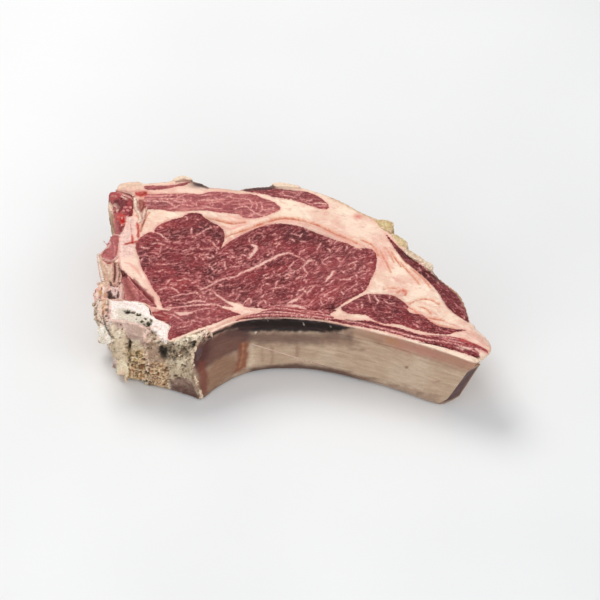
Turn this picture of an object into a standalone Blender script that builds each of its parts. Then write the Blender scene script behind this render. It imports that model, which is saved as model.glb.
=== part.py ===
"""A dry-aged bone-in ribeye, cut one rib thick, lying flat on its lower cut face.

X runs along the cut, from the sawn chine to the thin tail, Y from the rib to the back, Z up.
The outlines below are drawn on a grid seen from the rib side: u is the step to the right, v the step down.
One step of u is STEP_X metres along X. One step of v is STEP_Y metres along Y, and the lower cut face is
drawn LOWER steps further down than the upper one, because it lies THICK below it.
"""

import math

import bmesh
import bpy
import numpy as np
from mathutils import Vector
from mathutils.geometry import delaunay_2d_cdt

for old in list(bpy.data.objects):
    bpy.data.objects.remove(old, do_unlink=True)

# ---- driving sizes, in metres and grid steps -------------------------------------------------
THICK = 0.050  # one rib wide
STEP_X = 0.001 / 1.46
STEP_Y = 0.001 / 1.05024
LOWER = 50.71
U0, V0 = 292.92, 267.14  # grid point that lies over the origin
GAP = 0.0004  # between neighbouring pieces
RIB_TOP = 0.040  # the rib is lower than the cut, and intercostal meat lies on it
TAIL_UNDERCUT = 34 * STEP_X  # the saw ran in under the tail
TAIL_U = (390.0, 489.0)
LEFT_UNDERCUT = 0.0085
LEFT_U = (97.0, 160.0)
EDGE_STEP = 0.0052  # spacing of outline points
CROWN = 0.0011  # how far a cut muscle swells above its rim
FLESH_Z = THICK - 0.0008

# ---- outlines of the upper cut face: the corners of a smooth curve through them --------------
FAT_EDGE = [
    (97, 294), (98, 281), (103, 278), (98.5, 259), (102, 251.5), (109, 239), (114, 228), (111, 211),
    (108.5, 199), (111, 190.5), (118, 184), (127, 181), (143.6, 182.2), (166.5, 180.7), (181.8, 175.7),
    (192, 179), (208, 185.8), (238, 188.7), (256.5, 186.4), (280, 183), (300, 186), (329.8, 195.7),
    (358, 209.8), (392.4, 223.8), (389.5, 231.5), (402.7, 238.8), (407, 246), (424.3, 259.5), (435, 271),
    (454, 286), (465.5, 304.3), (468.5, 317.8), (482.3, 332.5), (489.8, 344), (487.3, 349),
]
EYE = [
    (219.6, 250), (231, 239.8), (249, 230.3), (269, 223.8), (287, 223.3), (307, 227.6), (330, 236.6),
    (352, 244.4), (368, 247.5), (376.3, 256), (374, 271), (366, 286.5), (351, 298), (338, 305),
    (325, 309.2), (306, 306.4), (281, 304), (256, 305.8), (239, 303.3), (223, 295.6), (208, 287.5),
    (204.2, 284), (208.6, 269.5),
]
COMPLEXUS = [
    (136.4, 248), (144.5, 234.5), (155.5, 231.4), (161.5, 223.6), (177, 216.5), (196, 212.4), (208, 219.6),
    (222, 228.5), (223.6, 237), (213.2, 251.5), (204.3, 270), (200, 287.5), (213.5, 293.2), (235, 305.4),
    (207, 303.4), (187, 305), (165, 306), (158.5, 297), (148, 279.5), (138.5, 259),
]
MULTIFIDUS = [
    (153.8, 312.3), (163, 309.3), (187, 308), (207, 306.3), (239.5, 312.5), (217, 318.4), (198, 325.1),
    (181, 331.2), (176, 330), (174.4, 322.4), (164, 316.6),
]
TRAPEZIUS = [
    (146.5, 199), (156, 193.2), (175, 192.3), (200, 193), (226, 192.4), (256.5, 195.2), (278.3, 204.3),
    (280, 210), (256.5, 216.4), (240, 216), (225, 211), (194, 209), (169, 209), (150, 206.5),
]
LATISSIMUS = [
    (245, 189.9), (268, 188.1), (290, 188.8), (313, 194), (328, 205.4), (315, 206.2), (291.6, 199),
    (264, 192.9),
]
FLANK = [
    (391.5, 240), (400, 248), (421, 262.8), (439, 276.2), (456, 291), (464.5, 308), (464, 315),
    (453, 309.8), (440.4, 292), (424.3, 275.2), (406.4, 260), (394.8, 246.5),
]
SERRATUS = [
    (345.5, 306), (359, 298.5), (378, 294), (400.5, 299), (409, 311), (428, 319.8), (457, 330.3),
    (436, 331.2), (400, 323), (366, 314), (347, 309.8),
]
SPINALIS = [(121.8, 270.5), (133, 278.5), (148, 292.5), (156.8, 304), (145, 298.4), (123.5, 294.4), (122, 282)]
END_MEAT = [
    (110.6, 193.4), (124, 192.5), (132.6, 203), (129.5, 214.5), (124.5, 226), (118.4, 232), (115.8, 219),
    (111.8, 205),
]
# the chine's sawn face: upper edge, two fifths down, lower edge; its rear is cut straight down
CHINE_FRONT = [
    ((209.8, 330.6), (191.6, 356.7), (202.6, 400.6)), ((197, 335.5), (183, 355.5), (192, 397)),
    ((178, 342), (171, 358), (175, 391.5)), ((160, 342), (156, 357.5), (156, 386.5)),
    ((147, 336), (147, 355.5), (147, 382.5)), ((124, 330), (125, 352.5), (127, 379.5)),
    ((106, 334), (109, 350), (115, 370)), ((99.5, 329), (104, 343), (112.5, 362)),
    ((95.5, 306), (99.5, 325), (106, 350)),
]
CHINE_REAR = [
    (97, 297), (110, 297.2), (133, 299), (144, 301.2), (150.5, 306.4), (152, 313.5), (170.5, 322.8),
    (172.5, 334.4), (180, 334.6), (199.5, 327.4), (207.2, 324.6),
]
# the outer face of the rib and of the meat on it: upper edge, two fifths down, lower edge; then its thickness in mm
RIB_FACE = [
    ((212.4, 331), (193.8, 357.2), (204.6, 401), 3.5), ((227, 324.3), (217, 348), (219.5, 388.5), 3.8),
    ((250, 318), (249, 340.4), (249, 374), 5.5), ((290, 316.8), (290, 338.8), (290, 369.8), 8.6),
    ((330, 321.2), (330, 343.2), (330, 374.2), 9.0), ((370, 329.5), (369.4, 352), (368.5, 383.5), 9.5),
    ((410, 340), (406.8, 362.2), (402, 393.5), 9.5), ((450, 352.5), (441.4, 373), (428.5, 402.5), 9.0),
    ((472, 360.5), (459.4, 378.3), (440.5, 404.3), 8.5),
]


# ---- from the grid to metres -----------------------------------------------------------------
def at(u, v, z=THICK):
    """The plan point of a grid point that lies at height z."""
    return np.array([(u - U0) * STEP_X, (V0 + LOWER * (1 - z / THICK) - v) * STEP_Y])


def smooth(t):
    t = np.clip(t, 0.0, 1.0)
    return t * t * (3 - 2 * t)


def lean(x, z):
    """How far a plan point of the upper face has moved along X at height z: both ends are cut in under."""
    u = x / STEP_X + U0
    right = TAIL_UNDERCUT * smooth((u - TAIL_U[0]) / (TAIL_U[1] - TAIL_U[0]))
    left = LEFT_UNDERCUT * smooth((LEFT_U[1] - u) / (LEFT_U[1] - LEFT_U[0]))
    return (left - right) * (1 - z / THICK)


# ---- curves ----------------------------------------------------------------------------------
def spline(points, closed, fine=8):
    """A Catmull-Rom curve through the points."""
    p = np.asarray(points, float)
    n = len(p)
    out = []
    for i in range(n if closed else n - 1):
        if closed:
            a, b, c, d = p[i - 1], p[i], p[(i + 1) % n], p[(i + 2) % n]
        else:
            a, b, c, d = p[max(i - 1, 0)], p[i], p[i + 1], p[min(i + 2, n - 1)]
        for k in range(fine):
            t = k / fine
            out.append(
                0.5 * (2 * b + (c - a) * t + (2 * a - 5 * b + 4 * c - d) * t * t + (3 * b - 3 * c + d - a) * t**3)
            )
    if not closed:
        out.append(p[-1])
    return np.array(out)


def spaced(curve, step, closed):
    """The curve again, with points a step apart."""
    p = np.vstack([curve, curve[:1]]) if closed else curve
    run = np.concatenate([[0], np.cumsum(np.linalg.norm(np.diff(p, axis=0), axis=1))])
    count = max(4, int(round(run[-1] / step)))
    want = np.linspace(0, run[-1], count + 1)
    got = np.stack([np.interp(want, run, p[:, k]) for k in range(p.shape[1])], axis=1)
    return got[:-1] if closed else got


def outline(points, step=EDGE_STEP):
    return spaced(spline([at(u, v) for u, v in points], True), step, True)


def signed_area(loop):
    x, y = loop[:, 0], loop[:, 1]
    return 0.5 * float(np.sum(x * np.roll(y, -1) - np.roll(x, -1) * y))


def outward(loop, closed=True):
    """Unit normals of a loop's points, to its outer side."""
    if closed:
        along = np.roll(loop, -1, axis=0) - np.roll(loop, 1, axis=0)
    else:
        along = np.gradient(loop, axis=0)
    along /= np.linalg.norm(along, axis=1)[:, None]
    side = np.stack([along[:, 1], -along[:, 0]], axis=1)
    return side * (1 if not closed or signed_area(loop) > 0 else -1)


def inside(points, loop):
    x, y = points[:, 0], points[:, 1]
    hit = np.zeros(len(points), bool)
    for i in range(len(loop)):
        (x1, y1), (x2, y2) = loop[i - 1], loop[i]
        if y1 == y2:
            continue
        hit ^= ((y1 > y) != (y2 > y)) & (x < (x2 - x1) * (y - y1) / (y2 - y1) + x1)
    return hit


def rim_distance(points, loops):
    best = np.full(len(points), 1e9)
    for loop in loops:
        for i in range(len(loop)):
            a, b = loop[i - 1], loop[i]
            ab = b - a
            t = np.clip(((points - a) @ ab) / max(float(ab @ ab), 1e-18), 0, 1)
            best = np.minimum(best, np.linalg.norm(points - a - t[:, None] * ab, axis=1))
    return best


# ---- pieces ----------------------------------------------------------------------------------
def material(name, colour, rough):
    m = bpy.data.materials.new(name)
    m.use_nodes = True
    shader = m.node_tree.nodes["Principled BSDF"]
    shader.inputs["Base Color"].default_value = (*colour, 1)
    shader.inputs["Roughness"].default_value = rough
    shader.inputs["Metallic"].default_value = 0.0
    return m


def build(name, verts, faces, mat):
    """A named object whose origin lies on the board under its middle."""
    verts = np.asarray(verts, float)
    spot = np.array([*(np.round((verts.min(0) + verts.max(0))[:2] * 500) / 1000), 0.0])
    mesh = bpy.data.meshes.new(name)
    mesh.from_pydata([tuple(float(c) for c in v - spot) for v in verts], [], [tuple(int(i) for i in f) for f in faces])
    bm = bmesh.new()
    bm.from_mesh(mesh)
    bmesh.ops.triangulate(bm, faces=bm.faces[:])
    bmesh.ops.recalc_face_normals(bm, faces=bm.faces[:])
    bm.to_mesh(mesh)
    bm.free()
    mesh.shade_smooth()
    mesh.set_sharp_from_angle(angle=math.radians(40))
    obj = bpy.data.objects.new(name, mesh)
    bpy.context.scene.collection.objects.link(obj)
    obj.location = spot
    obj.parent = RIBEYE
    mesh.materials.append(mat)
    return obj


def slab(name, loops, mat, inner_step, crown, bulge=None):
    """A piece that runs through the whole cut: the first loop is its outline, the others are the muscles in it.
    Its upper face swells by crown away from the rims, and bulge pushes the outline's points outwards half way down."""
    ring = np.vstack(loops)
    lo, hi = ring.min(0), ring.max(0)
    rows = np.arange(lo[1], hi[1], inner_step * 0.87)
    grid = np.array(
        [(x + (0.5 * inner_step if k % 2 else 0), y) for k, y in enumerate(rows) for x in np.arange(lo[0], hi[0], inner_step)]
    )
    keep = inside(grid, loops[0])
    for hole in loops[1:]:
        keep &= ~inside(grid, hole)
    grid = grid[keep]
    grid = grid[rim_distance(grid, loops) > inner_step * 0.55] if len(grid) else grid
    points = np.vstack([ring, grid]) if len(grid) else ring
    edges, start = [], 0
    for loop in loops:
        edges += [(start + k, start + (k + 1) % len(loop)) for k in range(len(loop))]
        start += len(loop)
    made = delaunay_2d_cdt([Vector(p) for p in points], edges, [], 1, 1e-9)
    flat = np.array([tuple(p) for p in made[0]])
    if len(flat) != len(points):
        raise RuntimeError(f"{name}: its outlines cross or touch")
    faces = np.array(made[2])
    middle = flat[faces].mean(axis=1)
    good = np.ones(len(faces), bool)
    for hole in loops[1:]:
        good &= ~inside(middle, hole)
    faces = faces[good]
    n, rims = len(flat), len(ring)
    depth = rim_distance(flat, loops)
    top_z = FLESH_Z + crown * (1 - np.exp(-depth / 0.006))
    top = np.column_stack([flat[:, 0], flat[:, 1], top_z])
    low = np.column_stack([flat[:, 0] + lean(flat[:, 0], 0.0), flat[:, 1], np.zeros(n)])
    verts = [top, low]
    quads = []
    start = 0
    for number, loop in enumerate(loops):
        ids = start + np.arange(len(loop))
        chain = [ids]
        if number == 0 and bulge is not None:
            normal = outward(loop)
            for share, push in ((0.92, 0.55), (0.5, 1.0), (0.05, 0.6)):
                z = THICK * share
                moved = loop + normal * (bulge * push)[:, None]
                verts.append(
                    np.column_stack([moved[:, 0] + lean(loop[:, 0], z), moved[:, 1], np.full(len(loop), z)])
                )
                chain.append(sum(len(v) for v in verts[:-1]) + np.arange(len(loop)))
        chain.append(n + ids)
        for a, b in zip(chain[:-1], chain[1:]):
            for k in range(len(loop)):
                m = (k + 1) % len(loop)
                quads.append((a[k], a[m], b[m], b[k]))
        start += len(loop)
    all_faces = [tuple(f) for f in faces] + [tuple(n + i for i in reversed(f)) for f in faces] + quads
    return build(name, np.vstack(verts), all_faces, mat)


def loft(name, rings, mat):
    """A closed piece through rings that all have the same number of points, capped at both ends."""
    verts = np.vstack(rings)
    m = len(rings[0])
    faces = []
    for r in range(len(rings) - 1):
        for k in range(m):
            j = (k + 1) % m
            faces.append((r * m + k, r * m + j, (r + 1) * m + j, (r + 1) * m + k))
    for r, flip in ((0, True), (len(rings) - 1, False)):
        ring = rings[r]
        spread = ring.max(0) - ring.min(0)
        axis = int(np.argmin(spread)) if spread.min() < 1e-6 else 0
        keep = [i for i in range(3) if i != axis] if spread.min() < 1e-6 else None
        if keep is None:
            faces.append(tuple(r * m + k for k in range(m)))
        else:
            made = delaunay_2d_cdt([Vector(p) for p in ring[:, keep]], [(k, (k + 1) % m) for k in range(m)], [], 1, 1e-9)
            faces += [tuple(r * m + made[3][i][0] for i in f) for f in made[2]]
    return build(name, verts, faces, mat)


RIBEYE = bpy.data.objects.new("ribeye", None)
bpy.context.scene.collection.objects.link(RIBEYE)

# the rib face as curves at three heights, and the line behind it
rib_u = spline([s[0] for s in RIB_FACE], False)
rib_m = spline([s[1] for s in RIB_FACE], False)
rib_l = spline([s[2] for s in RIB_FACE], False)
rib_w = spline([(s[3], 0) for s in RIB_FACE], False)[:, 0] * 0.001
RIB_COUNT = 38
pick = np.linspace(0, len(rib_u) - 1, RIB_COUNT)


def along_rib(values):
    index = np.arange(len(values))
    return np.stack([np.interp(pick, index, values[:, k]) for k in range(values.shape[1])], axis=1)


face_u = np.array([at(u, v, THICK) for u, v in along_rib(rib_u)])
face_m = np.array([at(u, v, 0.6 * THICK) for u, v in along_rib(rib_m)])
face_l = np.array([at(u, v, 0.0) for u, v in along_rib(rib_l)])
width = np.interp(pick, np.arange(len(rib_w)), rib_w)
behind = face_u - outward(face_u, closed=False) * width[:, None]


def rib_front(z):
    """The rib's outer face at height z: a smooth curve through its lower edge, its middle and its upper edge."""
    t = z / THICK
    lower = (t - 0.6) * (t - 1.0) / 0.6
    middle = t * (t - 1.0) / (0.6 * -0.4)
    upper = t * (t - 0.6) / 0.4
    return face_l * lower + face_m * middle + face_u * upper


def rib_back(z):
    return np.column_stack([behind[:, 0] + lean(behind[:, 0], z), behind[:, 1]])


def band(name, levels, mat):
    """A bar along the rib face: at each level, height and the share of its width that its face lies back."""
    rings = []
    for k in range(RIB_COUNT):
        ring = []
        for z, back in levels:
            f, b = rib_front(z)[k], rib_back(z)[k]
            ring.append((*(f + (b - f) * back), z))
        for z, _ in (levels[-1], levels[0]):
            ring.append((*rib_back(z)[k], z))
        rings.append(np.array(ring))
    return loft(name, rings, mat)


band(
    "rib_bone",
    [(0.0, 0.30), (0.0012, 0.10), (0.0050, 0.0), (0.014, 0.0), (0.024, 0.0), (0.034, 0.02), (0.0385, 0.10), (RIB_TOP, 0.28)],
    material("rib_bone", (0.45, 0.31, 0.22), 0.5),
)
band(
    "intercostal_meat",
    [(RIB_TOP + GAP, 0.10), (0.0455, 0.04), (0.0492, 0.0), (THICK - 0.0003, 0.08)],
    material("intercostal_meat", (0.16, 0.06, 0.06), 0.5),
)

# the chine: upper outline and lower outline joined by sawn faces
front_top = [at(*p[0]) for p in CHINE_FRONT]
front_mid = [at(*p[1], 0.6 * THICK) for p in CHINE_FRONT]
front_low = [at(*p[2], 0.0) for p in CHINE_FRONT]
rear_top = [at(*p) for p in CHINE_REAR]
rings = []
for z, worn in ((0.0, 0.0006), (0.0015, 0.0), (0.010, 0.0), (0.020, 0.0), (0.030, 0.0), (0.040, 0.0), (0.0472, 0.0), (0.0488, 0.0011)):
    t = z / THICK
    lower, middle, upper = (t - 0.6) * (t - 1.0) / 0.6, t * (t - 1.0) / -0.24, t * (t - 0.6) / 0.4
    ring = [a * lower + b * middle + c * upper for a, b, c in zip(front_low, front_mid, front_top)]
    ring += [p + (lean(p[0], z), 0) for p in rear_top]
    ring = np.array(ring)
    front = np.arange(len(ring)) < len(front_low)
    ring = ring - outward(ring) * (worn * front)[:, None]
    rings.append(np.column_stack([ring, np.full(len(ring), z)]))
loft("chine_bone", rings, material("chine_bone", (0.48, 0.39, 0.31), 0.8))

# the fat: its free edge, then back along the rib and the chine
free = spaced(spline([at(u, v) for u, v in FAT_EDGE], False), EDGE_STEP, False)
along_band = (behind - outward(face_u, closed=False) * (GAP + 0.0002))[::-1][::2]
chine_side = np.array([at(*p) for p in CHINE_REAR])
chine_side = chine_side[::-1]
step_off = -outward(chine_side, closed=False) * (GAP + 0.0003)
if (chine_side[3] + step_off[3])[1] < chine_side[3][1]:
    step_off = -step_off
chine_line = chine_side + step_off
edge = np.vstack([free, along_band, chine_line])
muscles = {
    "eye_longissimus": (EYE, (0.31, 0.085, 0.09), 0.38),
    "complexus": (COMPLEXUS, (0.27, 0.075, 0.08), 0.38),
    "multifidus": (MULTIFIDUS, (0.30, 0.08, 0.085), 0.38),
    "cap_trapezius": (TRAPEZIUS, (0.40, 0.15, 0.14), 0.4),
    "cap_latissimus": (LATISSIMUS, (0.34, 0.12, 0.12), 0.4),
    "outer_flank": (FLANK, (0.18, 0.07, 0.07), 0.5),
    "serratus": (SERRATUS, (0.22, 0.055, 0.06), 0.38),
    "chine_side_meat": (SPINALIS, (0.36, 0.11, 0.105), 0.4),
    "neck_end_meat": (END_MEAT, (0.36, 0.10, 0.10), 0.4),
}
loops = {name: outline(points) for name, (points, _, _) in muscles.items()}
# the free edge bulges half way down; where it meets the rib and the chine it stands straight
bulge = np.zeros(len(edge))
bulge[: len(free)] = 0.0019 * np.clip(np.minimum(np.arange(len(free)), len(free) - 1 - np.arange(len(free))) / 4, 0, 1)
fat_holes = [loop + outward(loop) * GAP for loop in loops.values()]
slab("fat_body", [edge] + fat_holes, material("fat_body", (0.86, 0.66, 0.54), 0.42), 0.011, 0.0006, bulge)
for name, (points, colour, rough) in muscles.items():
    slab(name, [loops[name]], material(name, colour, rough), 0.010, CROWN)
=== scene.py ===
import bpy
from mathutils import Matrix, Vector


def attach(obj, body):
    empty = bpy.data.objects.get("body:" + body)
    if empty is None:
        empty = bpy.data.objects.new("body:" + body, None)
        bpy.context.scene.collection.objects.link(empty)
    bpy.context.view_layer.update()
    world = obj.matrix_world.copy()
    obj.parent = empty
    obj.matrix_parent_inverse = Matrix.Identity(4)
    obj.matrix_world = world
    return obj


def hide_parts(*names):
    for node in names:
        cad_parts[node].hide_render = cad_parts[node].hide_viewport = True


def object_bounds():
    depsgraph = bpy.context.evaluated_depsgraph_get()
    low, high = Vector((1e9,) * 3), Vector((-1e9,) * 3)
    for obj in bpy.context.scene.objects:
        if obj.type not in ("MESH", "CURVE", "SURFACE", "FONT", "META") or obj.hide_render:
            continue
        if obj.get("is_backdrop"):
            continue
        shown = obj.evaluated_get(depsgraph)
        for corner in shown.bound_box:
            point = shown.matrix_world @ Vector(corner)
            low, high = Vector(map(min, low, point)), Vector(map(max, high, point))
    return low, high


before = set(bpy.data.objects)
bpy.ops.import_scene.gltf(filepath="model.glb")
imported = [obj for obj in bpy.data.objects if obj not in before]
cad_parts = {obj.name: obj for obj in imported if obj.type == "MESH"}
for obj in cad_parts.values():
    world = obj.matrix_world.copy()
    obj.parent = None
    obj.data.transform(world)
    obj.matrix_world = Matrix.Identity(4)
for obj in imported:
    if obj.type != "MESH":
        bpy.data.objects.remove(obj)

import math

import bmesh
import bpy
import numpy as np
from mathutils import Vector, kdtree
from mathutils.geometry import delaunay_2d_cdt

size_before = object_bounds()

# Everything is drawn on the same grid as the part: u to the right, v down, seen from the rib side.
# Lengths here are millimetres until a mesh is made.
THICK = 50.0
STEP_X, STEP_Y, LOWER = 1 / 1.46, 1 / 1.05024, 50.71
U0, V0 = 292.92, 267.14
TAIL_UNDERCUT, TAIL_U = 34 * STEP_X, (390.0, 489.0)
LEFT_UNDERCUT, LEFT_U = 8.5, (97.0, 160.0)
FINE = 0.62  # spacing of the points of the upper cut face
COARSE = 1.7  # and of the lower one
WALL = 1.55


# ---- helpers ---------------------------------------------------------------------------------
def at(u, v, z=THICK):
    return np.array([(u - U0) * STEP_X, (V0 + LOWER * (1 - z / THICK) - v) * STEP_Y])


def to_u(x):
    return x / STEP_X + U0


def to_v(y, z=THICK):
    return V0 + LOWER * (1 - z / THICK) - y / STEP_Y


def smooth(t):
    t = np.clip(t, 0.0, 1.0)
    return t * t * (3 - 2 * t)


def ramp(x, a, b):
    return smooth((x - a) / (b - a))


def lean_x(x, z):
    """Both ends of the cut are undercut."""
    u = to_u(x)
    right = TAIL_UNDERCUT * smooth((u - TAIL_U[0]) / (TAIL_U[1] - TAIL_U[0]))
    left = LEFT_UNDERCUT * smooth((LEFT_U[1] - u) / (LEFT_U[1] - LEFT_U[0]))
    return (left - right) * (1 - z / THICK)


RNG = np.random.default_rng(11)
GRADS = RNG.normal(size=(256, 3))
GRADS /= np.linalg.norm(GRADS, axis=1)[:, None]
PERM = RNG.permutation(256)


def noise3(p, seed=0):
    """Gradient noise, about -1 to 1."""
    p = np.asarray(p, float)
    if p.shape[1] == 2:
        p = np.column_stack([p, np.zeros(len(p))])
    p = p + seed * 17.313
    cell = np.floor(p).astype(int)
    f = p - cell
    w = f * f * f * (f * (f * 6 - 15) + 10)
    out = np.zeros(len(p))
    for dx in (0, 1):
        for dy in (0, 1):
            for dz in (0, 1):
                h = PERM[(PERM[(PERM[(cell[:, 0] + dx) & 255] + cell[:, 1] + dy) & 255] + cell[:, 2] + dz) & 255]
                d = f - (dx, dy, dz)
                n = (GRADS[h] * d).sum(1)
                out += (
                    (w[:, 0] if dx else 1 - w[:, 0]) * (w[:, 1] if dy else 1 - w[:, 1]) * (w[:, 2] if dz else 1 - w[:, 2]) * n
                )
    return out * 1.7


def fbm(p, octaves=4, seed=0, gain=0.5):
    total, amp, norm = 0, 1.0, 0
    p = np.asarray(p, float)
    for k in range(octaves):
        total = total + amp * noise3(p * 2**k, seed + k)
        norm += amp
        amp *= gain
    return total / norm


def spline(points, closed, fine=10):
    p = np.asarray(points, float)
    n = len(p)
    out = []
    for i in range(n if closed else n - 1):
        if closed:
            a, b, c, d = p[i - 1], p[i], p[(i + 1) % n], p[(i + 2) % n]
        else:
            a, b, c, d = p[max(i - 1, 0)], p[i], p[i + 1], p[min(i + 2, n - 1)]
        t = (np.arange(fine) / fine)[:, None]
        out.append(0.5 * (2 * b + (c - a) * t + (2 * a - 5 * b + 4 * c - d) * t**2 + (3 * b - 3 * c + d - a) * t**3))
    out = np.vstack(out)
    return out if closed else np.vstack([out, p[-1:]])


def spaced(curve, step, closed):
    p = np.vstack([curve, curve[:1]]) if closed else curve
    run = np.concatenate([[0], np.cumsum(np.linalg.norm(np.diff(p, axis=0), axis=1))])
    count = max(4, int(round(run[-1] / step)))
    want = np.linspace(0, run[-1], count + 1)
    got = np.stack([np.interp(want, run, p[:, k]) for k in range(p.shape[1])], axis=1)
    return got[:-1] if closed else got


def grid_curve(points, closed, step):
    return spaced(spline([at(*p) for p in points], closed), step, closed)


def area(loop):
    x, y = loop[:, 0], loop[:, 1]
    return 0.5 * float(np.sum(x * np.roll(y, -1) - np.roll(x, -1) * y))


def outward(loop, closed=True):
    along = np.roll(loop, -1, axis=0) - np.roll(loop, 1, axis=0) if closed else np.gradient(loop, axis=0)
    along = along / np.maximum(np.linalg.norm(along, axis=1), 1e-9)[:, None]
    side = np.stack([along[:, 1], -along[:, 0]], axis=1)
    return side * (1 if not closed or area(loop) > 0 else -1)


def inside(points, loop):
    lo, hi = loop.min(0), loop.max(0)
    near = np.where(((points > lo) & (points < hi)).all(1))[0]
    x, y = points[near, 0], points[near, 1]
    hit = np.zeros(len(near), bool)
    for i in range(len(loop)):
        (x1, y1), (x2, y2) = loop[i - 1], loop[i]
        if y1 == y2:
            continue
        hit ^= ((y1 > y) != (y2 > y)) & (x < (x2 - x1) * (y - y1) / (y2 - y1) + x1)
    out = np.zeros(len(points), bool)
    out[near] = hit
    return out


def to_segments(points, line, half, reach=6.0, best=None):
    """Distance to a line less its half width, which runs from one value to another along it."""
    best = np.full(len(points), reach) if best is None else best
    line = np.asarray(line, float)
    halves = np.interp(np.linspace(0, 1, len(line)), np.linspace(0, 1, len(half)), half)
    for k in range(len(line) - 1):
        a, b = line[k], line[k + 1]
        lo, hi = np.minimum(a, b) - reach - 2, np.maximum(a, b) + reach + 2
        near = np.where(((points > lo) & (points < hi)).all(1))[0]
        if not len(near):
            continue
        p = points[near]
        ab = b - a
        t = np.clip(((p - a) @ ab) / max(float(ab @ ab), 1e-12), 0, 1)
        d = np.linalg.norm(p - a - t[:, None] * ab, axis=1) - (halves[k] + (halves[k + 1] - halves[k]) * t)
        best[near] = np.minimum(best[near], d)
    return best


def signed(points, loops, reach=6.0):
    """Distance in from the nearest of the loops' edges: above 0 inside any of them."""
    out = np.full(len(points), -reach)
    for loop in loops:
        ring = np.vstack([loop, loop[:1]])
        d = to_segments(points, ring, [0, 0], reach)
        out = np.maximum(out, np.where(inside(points, loop), d, -d))
    return out


def strokes(points, lines, reach=5.0, wobble=0.0):
    best = np.full(len(points), reach)
    for number, (width, pts) in enumerate(lines):
        half = [w * 0.5 * 0.8 for w in (width if isinstance(width, (list, tuple)) else (width * 0.6, width, width * 0.6))]
        line = np.array([at(*p) for p in pts])
        if len(line) > 2:
            line = spline(line, False, 4)
        if wobble:
            line = line + wobble * np.column_stack(
                [noise3(line * 0.6, 40 + number), noise3(line * 0.6, 90 + number)]
            )
        to_segments(points, line, half, reach, best)
    return best


def spots(points, list_of):
    out = np.zeros(len(points))
    u, v = to_u(points[:, 0]), to_v(points[:, 1])
    for cu, cv, ru, rv, s in list_of:
        out = np.maximum(out, s * np.exp(-(((u - cu) / ru) ** 2 + ((v - cv) / rv) ** 2)))
    return out


# ---- the cut face, outlines ------------------------------------------------------------------
FREE_EDGE = [
    (97, 297), (95.5, 293.5), (96, 289), (99, 285), (100, 280.5), (104, 278.5), (101.6, 272), (100.4, 264), (99, 257),
    (98.2, 253), (101, 252.4), (104.5, 249), (107, 244), (109.5, 239), (112, 234.5), (115, 231.5), (115.2, 226),
    (113.6, 220.5), (113.4, 214), (109.2, 209.6), (108.6, 205), (109.4, 199), (108.6, 194.5), (110.6, 191),
    (115.6, 190), (117.2, 187), (119, 183.4), (123, 181.6), (132.8, 180.7), (139.5, 180.6), (143.6, 182), (155, 181.5),
    (166.5, 180.6), (172.6, 178.9), (176.8, 176.6), (181.8, 175.7), (187.2, 176.7), (191.8, 179.2), (197, 181),
    (203, 183.2), (208.3, 185.9), (214, 187), (226, 187.8), (238, 189.2), (243, 187.6), (248.9, 187), (256.5, 186.2),
    (268, 185.6), (273.5, 183.4), (280, 182.6), (288.3, 183.8), (300, 186.2), (313, 189.9), (329.8, 195.7),
    (346.3, 203), (358, 209.8), (371, 215.6), (379.5, 218.7), (386, 221), (392.2, 223.4), (393, 226.5), (390, 231.2),
    (391.6, 233), (396, 235.4), (402.7, 238.8), (407, 242.2), (406.4, 246.8), (411, 251), (419.3, 256),
    (424.3, 259.3), (431.4, 263.2), (432.2, 266.8), (435, 270.6), (442.5, 276.8), (450.8, 282.8), (456.6, 287.6),
    (461.5, 294.3), (465.5, 304.3), (467.8, 312.6), (469.4, 318.2), (473.4, 321.7), (475.4, 325.6), (482.3, 331.6),
    (487.4, 337), (489.7, 343.4), (488.4, 348.6), (484.6, 352.6), (481, 355.8),
]
FRONT_EDGE = [
    (477, 360.5), (472, 360.5), (462, 357), (450, 352.6), (430, 346), (410, 340), (390, 334.5), (370, 329.5),
    (350, 325), (330, 321.2), (310, 318.5), (290, 316.8), (270, 316.3), (250, 318), (237, 320.8), (227, 324.3),
    (219, 328), (212.4, 331.4),
]
CHINE_REAR = [
    (205.5, 328.6), (197, 331.4), (187, 335), (178, 338.6), (170.5, 340.6), (168.2, 337), (169, 331), (170, 324.5),
    (161.5, 320.4), (153.4, 315.4), (151, 308.5), (145, 303.2), (134, 300.6), (121, 299.6), (110, 299.2), (101, 298),
]
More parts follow.
